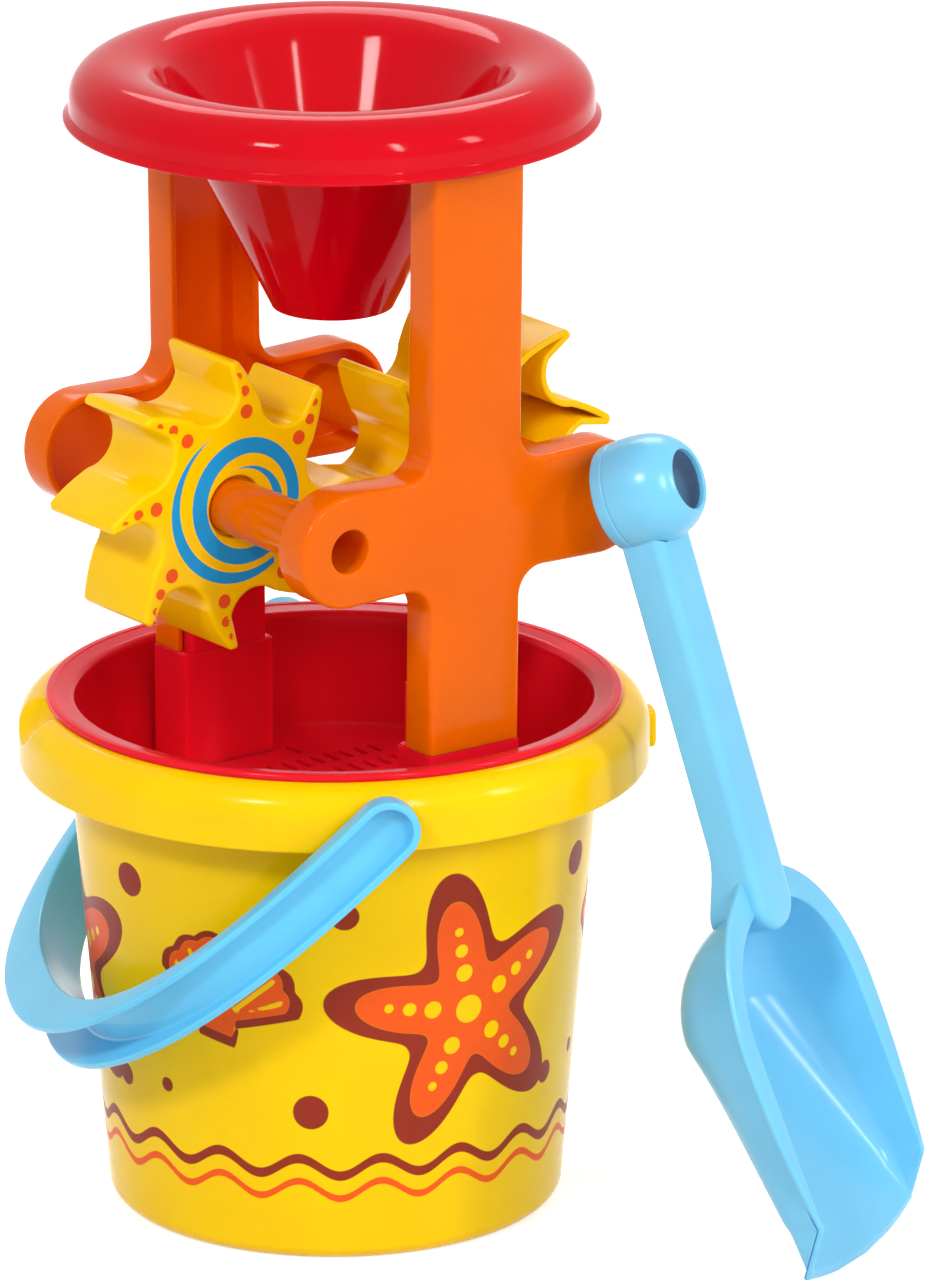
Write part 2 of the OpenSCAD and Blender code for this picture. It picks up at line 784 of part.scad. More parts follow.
// Point of the bowl's skin at a distance l, round it by the angle t, drawn in by an inset
function bowl_point(l, t, inset) =
  let (
    flange = flange_w * min(1, max(edge_flange_share, (scoop_side_end - l) / (scoop_side_end - scoop_wide) * 2)),
    top = edge_n(l),
    half = rim_half_w(min(l, scoop_side_end)) - flange - inset,
    deep = max(bowl_depth(l, inset) + top, shovel_wall - inset),
    fall = pow(abs(sin(t)), 2 / bowl_power),
    across = sign(cos(t)) * pow(abs(cos(t)), 2 / bowl_power) * (1 - bowl_draft_share * fall),
    front = max(0, (l - scoop_side_end) / (scoop_corner - scoop_side_end))
  )
  [l + blade_bow * front * (1 - across * across), half * across, top - max(deep * fall, shovel_wall - inset)];

// Pairs of points, outside and inside, across the scoop at a distance l
function station(l) =
  let (half = rim_half_w(min(l, scoop_side_end)), top = edge_n(l))
  concat(
    [[[l, half, top - shovel_wall], [l, half, top]]],
    [for (i = [0 : bowl_steps]) let (t = 180 * i / bowl_steps)
      [bowl_point(l, t, 0), bowl_point(l, t, shovel_wall)]],
    [[[l, -half, top - shovel_wall], [l, -half, top]]]);

function quad(a, b, c, d) = [[a, b, c], [a, c, d]];

// Thin shell of the scoop with its flange, as one skin of points taken station by station
module scoop() {
  stations = [for (i = [0 : station_steps]) scoop_start + (scoop_corner - scoop_start) * i / station_steps];
  rows = [for (l = stations) station(l)];
  m = len(rows[0]);
  points = [for (row = rows, side = [0, 1], pair = row) pair[side]];
  last = station_steps;
  function at(s, side, i) = (2 * s + side) * m + i;
  faces = [
    for (s = [0 : last - 1], i = [0 : m - 2])
      each quad(at(s, 0, i), at(s, 0, i + 1), at(s + 1, 0, i + 1), at(s + 1, 0, i)),
    for (s = [0 : last - 1], i = [0 : m - 2])
      each quad(at(s, 1, i), at(s + 1, 1, i), at(s + 1, 1, i + 1), at(s, 1, i + 1)),
    for (s = [0 : last - 1])
      each quad(at(s, 0, 0), at(s + 1, 0, 0), at(s + 1, 1, 0), at(s, 1, 0)),
    for (s = [0 : last - 1])
      each quad(at(s, 0, m - 1), at(s, 1, m - 1), at(s + 1, 1, m - 1), at(s + 1, 0, m - 1)),
    for (i = [0 : m - 2])
      each quad(at(0, 0, i), at(0, 1, i), at(0, 1, i + 1), at(0, 0, i + 1)),
    for (i = [0 : m - 2])
      each quad(at(last, 0, i), at(last, 0, i + 1), at(last, 1, i + 1), at(last, 1, i))
  ];
  polyhedron(points = points, faces = faces);
}

// Outline of the handle seen from the front, with its round tongue
module grip_plan(inset) {
  half = grip_w / 2 - inset;
  start = inset > 0 ? head_d / 2 : 0;
  translate([start, -half])
    square([grip_l - grip_w / 2 - start, 2 * half]);
  translate([grip_l - grip_w / 2, 0])
    circle(r = half);
}

// Side of the handle, deeper where it meets the scoop
module grip_side(inset) {
  back = grip_front - grip_t;
  root = grip_front - grip_root_t;
  rise = inset > 0 ? -over : 0;
  polygon([
    [0, grip_front - inset], [grip_l + over, grip_front - inset],
    [grip_l + over, root + rise], [scoop_start + grip_w, root + rise],
    [scoop_start, back + rise], [0, back + rise]
  ]);
}

// Cross-section of the handle, rounded at the front
module grip_section(inset) {
  half = grip_w / 2 - inset;
  r = grip_round_r - inset;
  translate([-half, grip_front - grip_root_t - over])
    square([2 * half, grip_root_t + over - grip_round_r]);
  for (side = [-1, 1])
    translate([side * (half - r), grip_front - grip_round_r])
      circle(r = r);
  translate([r - half, grip_front - grip_round_r - over])
    square([2 * (half - r), grip_round_r - inset + over]);
}

module grip_body(inset) {
  tall = 2 * grip_root_t;
  intersection() {
    linear_extrude(height = 2 * tall, center = true)
      grip_plan(inset);
    rotate([90, 0, 0])
      linear_extrude(height = grip_w + 2 * over, center = true)
        grip_side(inset);
    rotate([90, 0, 90])
      linear_extrude(height = grip_l + over)
        grip_section(inset);
  }
}

// Channel of the handle, open at the back and tilted about the end of its tongue
module grip() {
  translate([grip_l, 0, 0])
    rotate([0, grip_tilt, 0])
      translate([-grip_l, 0, 0])
        difference() {
          grip_body(0);
          grip_body(grip_wall);
        }
}

module head() {
  r = head_d / 2;
  rotate_extrude()
    polygon(concat(
      [[0, head_back], [r, head_back]],
      arc([r - head_round_r, head_front - head_round_r], head_round_r, 0, 90, 2 * edge_steps),
      [[0, head_front]]));
}

module shovel() {
  color("skyblue")
    translate([shovel_x, -shovel_y, shovel_z])
      rotate([shovel_roll, shovel_lean, shovel_heading])
        difference() {
          union() {
            grip();
            head();
            scoop();
          }
          cylinder(d = head_hole_d, h = 2 * head_l + 2 * over, center = true);
        }
}

bucket();
bucket_handle();
sieve_tray();
front_frame();
rear_frame();
left_wheel();
right_wheel();
funnel();
shovel();
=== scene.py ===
"""Sand wheel toy: bucket with bail and sieve tray, mill frame with two scoop wheels, funnel and shovel."""

import math

import bmesh
import bpy
import numpy as np
from mathutils import Matrix, Vector
from mathutils.geometry import delaunay_2d_cdt


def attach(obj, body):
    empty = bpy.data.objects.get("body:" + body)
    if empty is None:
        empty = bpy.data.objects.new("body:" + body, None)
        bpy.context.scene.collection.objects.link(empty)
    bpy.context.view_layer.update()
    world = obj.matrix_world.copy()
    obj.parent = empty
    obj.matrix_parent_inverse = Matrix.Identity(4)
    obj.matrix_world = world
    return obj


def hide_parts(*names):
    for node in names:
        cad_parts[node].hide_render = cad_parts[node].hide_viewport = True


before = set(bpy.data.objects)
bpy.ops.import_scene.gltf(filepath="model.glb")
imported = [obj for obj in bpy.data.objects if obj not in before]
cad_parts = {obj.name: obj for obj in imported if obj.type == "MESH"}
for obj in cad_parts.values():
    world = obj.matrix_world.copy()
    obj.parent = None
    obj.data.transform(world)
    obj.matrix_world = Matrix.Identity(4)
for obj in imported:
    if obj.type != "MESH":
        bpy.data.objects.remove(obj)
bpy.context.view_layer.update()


# Camera
# A long lens a little above the rim looks down on the toy from its front left. The place, aim and
# focal length were fitted to the outlines in the photograph.
lens_mm, sensor_mm, nearest_m, farthest_m = 457.9, 36, 0.1, 50
camera_at = Vector((-1.8882, -2.5874, 1.1772))
camera_aim = Vector((0.0299, -0.0218, 0.1638))

camera_data = bpy.data.cameras.new("camera")
camera_data.sensor_fit = "HORIZONTAL"
camera_data.sensor_width = sensor_mm
camera_data.lens = lens_mm
camera_data.clip_start, camera_data.clip_end = nearest_m, farthest_m
camera = bpy.data.objects.new("camera", camera_data)
camera.location = camera_at
camera.rotation_euler = (camera_aim - camera_at).to_track_quat("-Z", "Y").to_euler()
bpy.context.scene.collection.objects.link(camera)
bpy.context.scene.camera = camera
bpy.context.scene.view_settings.view_transform = "Standard"


# Bucket
# Injection-moulded polypropylene, glossy and a little soft to the eye, in a warm yellow. The rim rolls
# out into a hanging skirt, dips into a pouring spout at the left rear, and carries a small tab opposite.
# A two-colour pad print of sea life runs round the wall.
polypropylene_ior, plain_shine = 1.49, 0.11


def linear(code):
    """Linear colour with alpha from a six-digit sRGB hex value: a power curve with a straight foot."""
    foot, foot_slope, lift, gamma = 0.04045, 12.92, 0.055, 2.4
    c = np.array([int(code[i : i + 2], 16) for i in (0, 2, 4)]) / 255
    c = np.where(c <= foot, c / foot_slope, ((c + lift) / (1 + lift)) ** gamma)
    return (*c.tolist(), 1.0)


def add(tree, kind, links=(), **settings):
    """Adds a node; links are (input, from node, from output), settings are properties or inputs by name."""
    node = tree.nodes.new(kind)
    for key, value in settings.items():
        name = key.replace("_", " ")
        socket = node.inputs.get(name) or node.inputs.get(name.title())
        if hasattr(node, key):
            setattr(node, key, value)
        else:
            socket.default_value = value
    for to, source, output in links:
        tree.links.new(source.outputs[output], node.inputs[to])
    return node


def noise(tree, cell_mm, detail=2):
    """Noise on Object coordinates, in metres, whose cells have a size in mm."""
    where = [("Vector", add(tree, "ShaderNodeTexCoord"), "Object")]
    return add(tree, "ShaderNodeTexNoise", where, Scale=1000 / cell_mm, Detail=detail)


def mottled(tree, code, source, stops, factors):
    """Colour of a hex value, times one factor where the noise is low and another where it is high."""
    ramp = add(tree, "ShaderNodeValToRGB", [("Fac", source, "Fac")])
    base = np.array(linear(code)[:3])
    for stop, at, factor in zip(ramp.color_ramp.elements, stops, factors):
        stop.position = at
        stop.color = (*np.clip(base * factor, 0, 1).tolist(), 1)
    return ramp


def moulded(name, code, rough=0.26, soft=0.3, grain=1.0, reach_mm=3.5, shine=plain_shine):
    """Moulded polypropylene: faint flow streaks in the colour, a fine orange-peel skin and varying gloss.

    The skin's cells are drawn coarser than real ones, so that they show. Light goes a few millimetres into
    the pigmented plastic, furthest in its own colour, so thin walls glow."""
    streak_mm, patch_mm, peel_mm, peel_deep_mm = 30.3, 11.76, 1.613, 0.2
    gloss_swing, peel_strength, least_reach = 0.03, 0.035, 0.25
    material = bpy.data.materials.new(name)
    material.use_nodes = True
    tree = material.node_tree
    tree.nodes.clear()
    shades = mottled(tree, code, noise(tree, streak_mm, 3), (0.35, 0.65), (0.96, 1.02))
    gloss = add(tree, "ShaderNodeMapRange", [("Value", noise(tree, patch_mm), "Fac")])
    gloss.inputs["To Min"].default_value = rough - gloss_swing
    gloss.inputs["To Max"].default_value = rough + gloss_swing
    bump = add(tree, "ShaderNodeBump", [("Height", noise(tree, peel_mm), "Fac")])
    bump.inputs["Strength"].default_value = peel_strength * grain
    bump.inputs["Distance"].default_value = peel_deep_mm / 1000
    shader = add(
        tree,
        "ShaderNodeBsdfPrincipled",
        [("Base Color", shades, "Color"), ("Roughness", gloss, "Result"), ("Normal", bump, "Normal")],
        IOR=polypropylene_ior,
        Subsurface_Weight=soft,
        Subsurface_Scale=reach_mm / 1000,
    )
    shader.inputs["Specular IOR Level"].default_value = shine
    reach_of_colours = least_reach + np.array(linear(code)[:3])
    shader.inputs["Subsurface Radius"].default_value = tuple(reach_of_colours.tolist())
    add(tree, "ShaderNodeOutputMaterial", [("Surface", shader, "BSDF")])
    return material


def ink(material, attribute, code):
    """Prints an ink where the piece's attribute, a distance in mm from the print's edge, is below zero."""
    feather, screen_mm, ink_rough = 0.12, 2.38, 0.34
    tree = material.node_tree
    out = next(n for n in tree.nodes if n.type == "OUTPUT_MATERIAL")
    under = out.inputs["Surface"].links[0].from_node
    edge = add(tree, "ShaderNodeAttribute", attribute_name=attribute)
    mask = add(tree, "ShaderNodeMapRange", [("Value", edge, "Fac")])
    for key, value in {"From Min": feather, "From Max": -feather, "To Min": 0, "To Max": 1}.items():
        mask.inputs[key].default_value = value
    shades = mottled(tree, code, noise(tree, screen_mm), (0.3, 0.7), (0.97, 1.02))
    film = add(tree, "ShaderNodeBsdfPrincipled", [("Base Color", shades, "Color")], Roughness=ink_rough)
    film.inputs["IOR"].default_value = polypropylene_ior
    film.inputs["Specular IOR Level"].default_value = plain_shine
    both = add(tree, "ShaderNodeMixShader", [(0, mask, "Result"), (1, under, 0), (2, film, "BSDF")])
    tree.links.new(both.outputs[0], out.inputs["Surface"])


def rounded(corners, radii, steps=6, closed=False):
    """Polyline whose corners are replaced by arcs that touch both sides, each of the given radius.

    A corner that is nearly straight stays, and an arc takes at most half of the shorter side."""
    nearly_straight, half_share = 0.02, 0.49
    p = np.asarray(corners, float)
    out = []
    n = len(p)
    for i in range(n):
        r = radii[i] if np.ndim(radii) else radii
        if r <= 0 or (not closed and i in (0, n - 1)):
            out.append(p[i : i + 1])
            continue
        a, b = p[i - 1] - p[i], p[(i + 1) % n] - p[i]
        la, lb = np.linalg.norm(a), np.linalg.norm(b)
        a, b = a / la, b / lb
        half = math.acos(np.clip(a @ b, -1, 1)) / 2
        if half > math.pi / 2 - nearly_straight:
            out.append(p[i : i + 1])
            continue
        r = min(r, half_share * min(la, lb) * math.tan(half))
        centre = p[i] + (a + b) / np.linalg.norm(a + b) * r / math.sin(half)
        start, end = p[i] + a * r / math.tan(half), p[i] + b * r / math.tan(half)
        t = np.linspace(0, 1, steps + 1)[:, None]
        u, v = start - centre, end - centre
        angle = math.acos(np.clip(u @ v / r / r, -1, 1))
        out.append(centre + (np.sin((1 - t) * angle) * u + np.sin(t * angle) * v) / math.sin(angle))
    return np.vstack(out)


def oval(centre, rx, ry, a, b, n):
    """Points on an ellipse's arc from angle a to angle b, in degrees."""
    t = np.radians(np.linspace(a, b, n + 1))
    return np.column_stack([centre[0] + rx * np.cos(t), centre[1] + ry * np.sin(t)])


def spread(line, step):
    """The polyline with points added so that none of its stretches is longer than the step."""
    parts = []
    for a, b in zip(line[:-1], line[1:]):
        n = max(1, math.ceil(np.linalg.norm(b - a) / step))
        parts.append(a + (b - a) * np.arange(n)[:, None] / n)
    return np.vstack([*parts, line[-1:]])


def quads(nu, nv, wrap_u=False, wrap_v=False):
    """Faces of a grid of nu by nv points, joined end to end where it wraps."""
    i, j = np.meshgrid(np.arange(nu - (not wrap_u)), np.arange(nv - (not wrap_v)), indexing="ij")
    a, b = i * nv + j, (i + 1) % nu * nv + j
    c, d = (i + 1) % nu * nv + (j + 1) % nv, i * nv + (j + 1) % nv
    return np.stack([a, b, c, d], -1).reshape(-1, 4)


def piece(name, parts, material, body, node, turn=np.eye(3), at=(0, 0, 0), attributes=None):
    """Joins point sets and faces, in mm, into one smooth closed piece that stands for a CAD node."""
    weld_m, sliver_m, crease_deg = 2e-6, 1e-7, 38
    base, points, faces = 0, [], []
    for p, f in parts:
        points.append(np.asarray(p, float).reshape(-1, 3))
        faces += [[int(k) + base for k in face] for face in f]
        base += len(points[-1])
    xyz = (np.vstack(points) @ np.asarray(turn).T + np.asarray(at, float)) / 1000
    mesh = bpy.data.meshes.new(name)
    mesh.from_pydata(xyz.tolist(), [], faces)
    for key, values in (attributes or {}).items():
        layer = mesh.attributes.new(key, "FLOAT", "POINT")
        layer.data.foreach_set("value", np.asarray(values, np.float32))
    work = bmesh.new()
    work.from_mesh(mesh)
    bmesh.ops.remove_doubles(work, verts=work.verts, dist=weld_m)
    bmesh.ops.dissolve_degenerate(work, edges=work.edges, dist=sliver_m)
    bmesh.ops.recalc_face_normals(work, faces=work.faces)
    work.to_mesh(mesh)
    work.free()
    mesh.polygons.foreach_set("use_smooth", np.ones(len(mesh.polygons), bool))
    mesh.set_sharp_from_angle(angle=math.radians(crease_deg))
    mesh.materials.append(material)
    made = bpy.data.objects.new(name, mesh)
    bpy.context.scene.collection.objects.link(made)
    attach(made, body)
    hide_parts(node)


def spun(profile, steps):
    """Points of a closed (r, z) profile carried round the Z axis, one ring for each profile point."""
    t = 2 * np.pi * np.arange(steps) / steps
    r, z = profile[:, :1], profile[:, 1:]
    return np.stack([r * np.cos(t), r * np.sin(t), np.broadcast_to(z, (len(profile), steps))], -1)


def turned(degrees, axis="Z"):
    """Matrix of a turn about one axis."""
    return np.array(Matrix.Rotation(math.radians(degrees), 3, axis))


bucket_h, base_r, top_r, rim_r, wall, base_t = 148.5, 64.7, 77.2, 90.0, 2.0, 2.4
base_flat_r, base_round, base_round_h, wall_top = 40, 7.5, 9.0, 140.5
shoulder_w, shoulder_h, lip_w, lip_round = 8.0, 8.5, 1, 1.6
skirt_z, skirt_root, skirt_rounds, skirt_steps = 130.0, 139, (0.6, 0.9), 4
inside_top, inside_foot, floor_round = 120, 10, 6
spout_r, spout_drop, spout_soft, spout_reach, spout_wall_share = 16.0, 10.5, 0.4, 12, 1.1
bucket_turn, bucket_steps, fine_step, coarse_step = -27.2, 480, 1.2, 6


def wall_r(z):
    """Outer radius of the bucket's wall at a height."""
    return base_r + (top_r - base_r) * z / bucket_h


def bucket_profile():
    """Outside from the base's centre up to the skirt and over the rim, then down inside to the floor.

    Also gives the places of the first point under the rim and of the first outside it."""
    flat_r, roll_z = rim_r - shoulder_w, bucket_h - shoulder_h
    foot, head = (wall_r(base_round_h), base_round_h), (wall_r(wall_top), wall_top)
    base = rounded([(base_flat_r, 0), (wall_r(0), 0), foot], [0, base_round, 0], 8)[1:-1]
    outside = np.vstack([[(0, 0), (base_flat_r, 0)], base, spread(np.array([foot, head]), fine_step)])
    under = oval((flat_r, roll_z), shoulder_w - wall, shoulder_h - wall, 90, 0, 8)
    skirt_in = rim_r - wall
    skirt = [(skirt_in, skirt_root), (skirt_in, skirt_z), (rim_r, skirt_z), (rim_r, skirt_root)]
    skirt = rounded(skirt, [0, *skirt_rounds, 0], skirt_steps)
    over = oval((flat_r, roll_z), shoulder_w, shoulder_h, 0, 90, 14)
    side = spread(np.array([skirt[-2], over[0]]), fine_step)[1:-1]
    top, low, ground = [(wall_r(z) - wall, z) for z in (inside_top, inside_foot, base_t)]
    lip = rounded([(flat_r - lip_w, bucket_h), (top_r - wall, bucket_h), top], [0, lip_round, 0])
    lip = spread(np.vstack([over[-1:], lip[:-1]]), fine_step)[1:]
    inside = spread(np.array([top, low]), coarse_step)
    floor = rounded([low, ground, (0, base_t)], [0, floor_round, 0])[1:]
    first_under = len(outside)
    first_over = first_under + len(under) + skirt_steps
    return np.vstack([outside, under, skirt[1:-1], side, over, lip, inside, floor]), first_under, first_over


line, first_under, first_over = bucket_profile()
points = spun(line, bucket_steps)
along_line = np.arange(len(line))[:, None]

# The spout is a round trough that falls outwards: what stands above it is pressed down, the underside by a
# wall more, and a soft minimum rounds its edges. Beside and behind it the trough is far above everything.
outward, across, height = -points[..., 0], points[..., 1], points[..., 2]
slope, beside, behind = spout_drop / (rim_r - top_r), 40, 1e3
trough = bucket_h - spout_drop + slope * (rim_r - outward)
bend = np.sqrt(np.maximum(spout_r**2 - across**2, 0))
trough = trough + (spout_r - bend) * math.hypot(1, slope) + beside * (np.abs(across) >= spout_r)
trough = np.where(outward > 0, trough, behind)
thick = np.where(along_line < first_over, wall * spout_wall_share, 0)
dipped = height - spout_soft * np.logaddexp((height - (trough - thick)) / spout_soft, 0.0)
near = (height > inside_top) & (outward > top_r - spout_reach) & (along_line >= first_under)
points[..., 2] = np.where(near, dipped, height)

# The print is laid out on the unrolled wall, with angles round the bucket in degrees and the rest in mm. A
# star is given as (size, waist), its spots as (distance along the arm, radius), a fan as (height, size), a
# dot as (angle, height, radius) and a wave as (height, half width).
angle = np.degrees(np.arctan2(points[..., 1], points[..., 0])) + bucket_turn
tall = points[..., 2]
printed_r, print_repeats, off_print = 70.0, 3, 9.0
star_at, star_z, star_lean, star_brown, star_orange = -94, 74, 10, (43, 21), (34, 14.5)
star_arms, star_middle_r, star_spots = 5, 4.2, ((11.5, 2.6), (18.5, 2.0), (24.5, 1.4))
fan_at, fan_lean, fan_brown, fan_orange, fan_groove = -34, -14, (82, 30), (82.6, 25.5), 0.75
brown_dots = ((-58, 108, 5), (-66, 46, 3.4), (-124, 106, 4), (-12, 46, 5.2), (-50, 48, 2.2))
wave_rise, wave_count, brown_wave, orange_wave = 2.6, 18, (29, 1.5), (22, 1.1)


def local(at, z0, turn=0.0):
    """Distances round the wall and up it from a place at an angle and height, turned by an angle."""
    ds = np.radians((angle - at + 180) % 360 - 180) * printed_r
    dz = tall - z0
    c, s = math.cos(math.radians(turn)), math.sin(math.radians(turn))
    return ds * c + dz * s, dz * c - ds * s


def disc(at, z0, r):
    """Distance to a disc's edge."""
    x, y = local(at, z0)
    return np.hypot(x, y) - r


def starfish(at, z0, size, waist):
    """Distance to a starfish: its radius swells once for each arm between the waist and the size.

    The difference of radii is scaled by the edge's mean steepness, which makes it near to a distance."""
    arm_taper, steepness = 1.25, 0.62
    x, y = local(at, z0, star_lean)
    swell = (0.5 + 0.5 * np.cos(star_arms * np.arctan2(x, y))) ** arm_taper
    return (np.hypot(x, y) - waist - (size - waist) * swell) * steepness


def scallop(at, z0, size, groove=0.0):
    """Distance to a scallop: a fan whose far edge has seven lobes, on a short foot; or to its grooves."""
    half_fan, lobe, lobe_share, droop_share = 62, 17.714, 0.045, 0.16
    x, y = local(at, z0 - 0.45 * size, fan_lean)
    fan, r = np.degrees(np.arctan2(x, y)), np.hypot(x, y)
    edge = 0.98 - droop_share * (fan / half_fan) ** 2 + lobe_share * np.abs(np.cos(np.pi * fan / lobe))
    body = np.maximum(r - size * edge, np.radians(np.abs(fan) - half_fan) * r)
    foot = np.maximum(np.abs(x) - 0.2 * size, np.abs(y + 0.02 * size) - 0.09 * size)
    if not groove:
        return np.minimum(body, foot)
    lines = np.radians(np.abs((fan + lobe / 2) % lobe - lobe / 2)) * r - groove
    return np.maximum.reduce([lines, body + 2.0, 0.26 * size - r])


def wave(z0, half):
    """Distance to a wavy line round the wall."""
    return np.abs(tall - z0 - wave_rise * np.sin(np.radians(wave_count * angle))) - half


def repeated(shape, rows):
    """Distances to a shape's copies round the wall, one set for each row of its arguments."""
    turns = 360 / print_repeats * np.arange(print_repeats)
    return [shape(at + turn, *rest) for turn in turns for at, *rest in rows]


spots = [(star_at, star_z, star_middle_r)]
for arm in range(star_arms):
    lean = math.radians(360 / star_arms * arm - star_lean)
    for r, size in star_spots:
        aside = math.degrees(r * math.sin(lean) / printed_r)
        spots.append((star_at + aside, star_z + r * math.cos(lean), size))
brown = repeated(starfish, [(star_at, star_z, *star_brown)]) + repeated(scallop, [(fan_at, *fan_brown)])
brown = np.minimum.reduce([*brown, *repeated(disc, brown_dots), wave(*brown_wave)])
orange = repeated(starfish, [(star_at, star_z, *star_orange)]) + repeated(scallop, [(fan_at, *fan_orange)])
orange = np.minimum.reduce([*orange, wave(*orange_wave)])
left_bare = repeated(disc, spots) + repeated(scallop, [(fan_at, *fan_orange, fan_groove)])
off_wall = np.where((along_line < first_under) & (tall > base_round_h), -off_print, off_print)
brown_edge = np.maximum.reduce([brown, -orange, off_wall])
orange_edge = np.maximum.reduce([orange, -np.minimum.reduce(left_bare), off_wall])


def power(value, exponent):
    """Signed power of an array, which squares off the circle in a superellipse."""
    return np.sign(value) * np.abs(value) ** exponent


# The tab is a rounded block half sunk in the skirt: a superellipsoid, its cosines and sines to a low power
tab_out, tab_half, tab_z, tab_power, tab_steps = 0.45, (2.5, 4.0, 5.7), 133.8, 0.35, 40
tab_u = np.linspace(-np.pi, np.pi, tab_steps + 1)[:-1, None]
tab_v = np.linspace(-np.pi / 2, np.pi / 2, tab_steps // 2 + 1)[None]
ring_share = power(np.cos(tab_v), tab_power)
tab = np.stack(
    [
        rim_r + tab_out + tab_half[0] * ring_share * power(np.cos(tab_u), tab_power),
        tab_half[1] * ring_share * power(np.sin(tab_u), tab_power),
        tab_z + tab_half[2] * power(np.sin(tab_v), tab_power) + 0 * tab_u,
    ],
    -1,
)
bucket_yellow = moulded("polypropylene_moulded_yellow", "FFCA00", 0.17)
ink(bucket_yellow, "brown_edge", "93311F")
ink(bucket_yellow, "orange_edge", "EE5A1C")
piece(
    "bucket_shell",
    [
        (points, quads(len(line), bucket_steps, wrap_v=True)),
        (tab, quads(tab_steps, tab_steps // 2 + 1, wrap_u=True)),
    ],
    bucket_yellow,
    "bucket",
    "bucket",
    turned(bucket_turn),
    attributes={
        "brown_edge": np.concatenate([brown_edge.ravel(), np.full(tab[..., 0].size, off_print)]),
        "orange_edge": np.concatenate([orange_edge.ravel(), np.full(tab[..., 0].size, off_print)]),
    },
)


# Bail
# Injection-moulded polypropylene in a light sky blue, glossy. A channel that opens outwards, with flanges
# that catch the light. Its round cupped ends carry pegs that snap into holes in the bucket's skirt.
bail_end_r, bail_web, bail_flange, bail_fillet, back_round, rim_round = 9.0, 2.5, 2.2, 1.0, 0.9, 0.6
bail_outer, bail_inner = (97.8, 122.0, 2.22), (90.7, 107.0, 2.5)
peg_r, peg_lip_r, peg_root, peg_lip, peg_tip, peg_steps = 3.95, 4.6, 92.2, 87.0, 84.6, 40
pivot_z, bail_tilt, band_steps, end_steps, web_points = 138.3, 43.6, 240, 14, 11


def arch(half, reach, exponent, t):
    """Half a superellipse: across goes as a power of the cosine of t, along as a power of its sine."""
    across, along = power(np.cos(t), 2 / exponent), power(np.abs(np.sin(t)), 2 / exponent)
    return np.stack([half * across, reach * along], -1)


def quarter(n=5):
    """Sine and 1 - cosine of a quarter turn, the two ways along a rounded edge."""
    t = np.linspace(0, np.pi / 2, n)
    return np.sin(t), 1 - np.cos(t)


# Half of the channel's section as (from the band's edge, from the outside, from the inside); one of the two
# depths is used: round the back edge, up the flange, over it and down to the web
s, c = quarter()
no = np.full(len(s), np.nan)
half_section = np.vstack(
    [
        np.column_stack([back_round * (1 - s), no, back_round * c]),
        np.column_stack([rim_round * c, rim_round * (1 - s), no]),
        np.column_stack([bail_flange - rim_round + rim_round * s, rim_round * c, no]),
        np.column_stack([bail_flange + bail_fillet * c, no, bail_web + bail_fillet * (1 - s)]),
    ]
)
across_web = np.linspace(1, -1, web_points + 2)[1:-1]
web_back, web_front = [
    np.tile([from_edge, np.nan, from_inside], (web_points, 1))
    for from_edge, from_inside in ((back_round, 0), (bail_flange + bail_fillet, bail_web))
]
section = np.vstack([web_back, half_section, web_front, half_section[::-1]])
flange_side = np.ones(len(half_section))
reach_share = np.concatenate([across_web, -flange_side, -across_web, flange_side])
ends = np.linspace(0, np.pi / 2, end_steps + 1)[:-1]
t = np.concatenate([np.zeros(end_steps), np.linspace(0, np.pi, band_steps + 1), np.full(end_steps, np.pi)])
round_sin = np.concatenate([np.sin(ends), np.ones(band_steps + 1), np.sin(ends)[::-1]])[:, None]
round_cos = np.concatenate([np.cos(ends), np.zeros(band_steps + 1), np.cos(ends)[::-1]])[:, None]
outside, inside = arch(*bail_outer, t)[:, None], arch(*bail_inner, t)[:, None]
thick = np.linalg.norm(outside - inside, axis=-1)
depth = np.where(np.isnan(section[:, 1]), thick - section[:, 2], section[:, 1])
flat = outside + (inside - outside) * (depth / thick)[..., None]
tuck = bail_end_r - section[:, 0]
bail = np.stack([flat[..., 0], flat[..., 1] - tuck * round_cos, tuck * round_sin * reach_share], -1)
peg_line = [(0, peg_root), (peg_r, peg_root), (peg_r, peg_lip), (peg_lip_r, peg_lip), (peg_r, peg_tip)]
peg_line = rounded([*peg_line, (0, peg_tip)], [0, 0, 0, 0.4, 0.8, 0], 4)
peg = np.roll(spun(peg_line, peg_steps), 1, axis=-1)
bail_blue = moulded("polypropylene_moulded_sky_blue", "68C8F0", 0.22, shine=0.28)
piece(
    "bail_channel",
    [
        (bail, quads(len(t), len(section), wrap_v=True)),
        (peg, quads(len(peg_line), peg_steps, wrap_v=True)),
        (peg * (-1, 1, 1), quads(len(peg_line), peg_steps, wrap_v=True)),
    ],
    bail_blue,
    "handle",
    "bucket_handle",
    turned(bucket_turn) @ turned(-bail_tilt, "Y") @ turned(90),
    (0, 0, pivot_z),
)


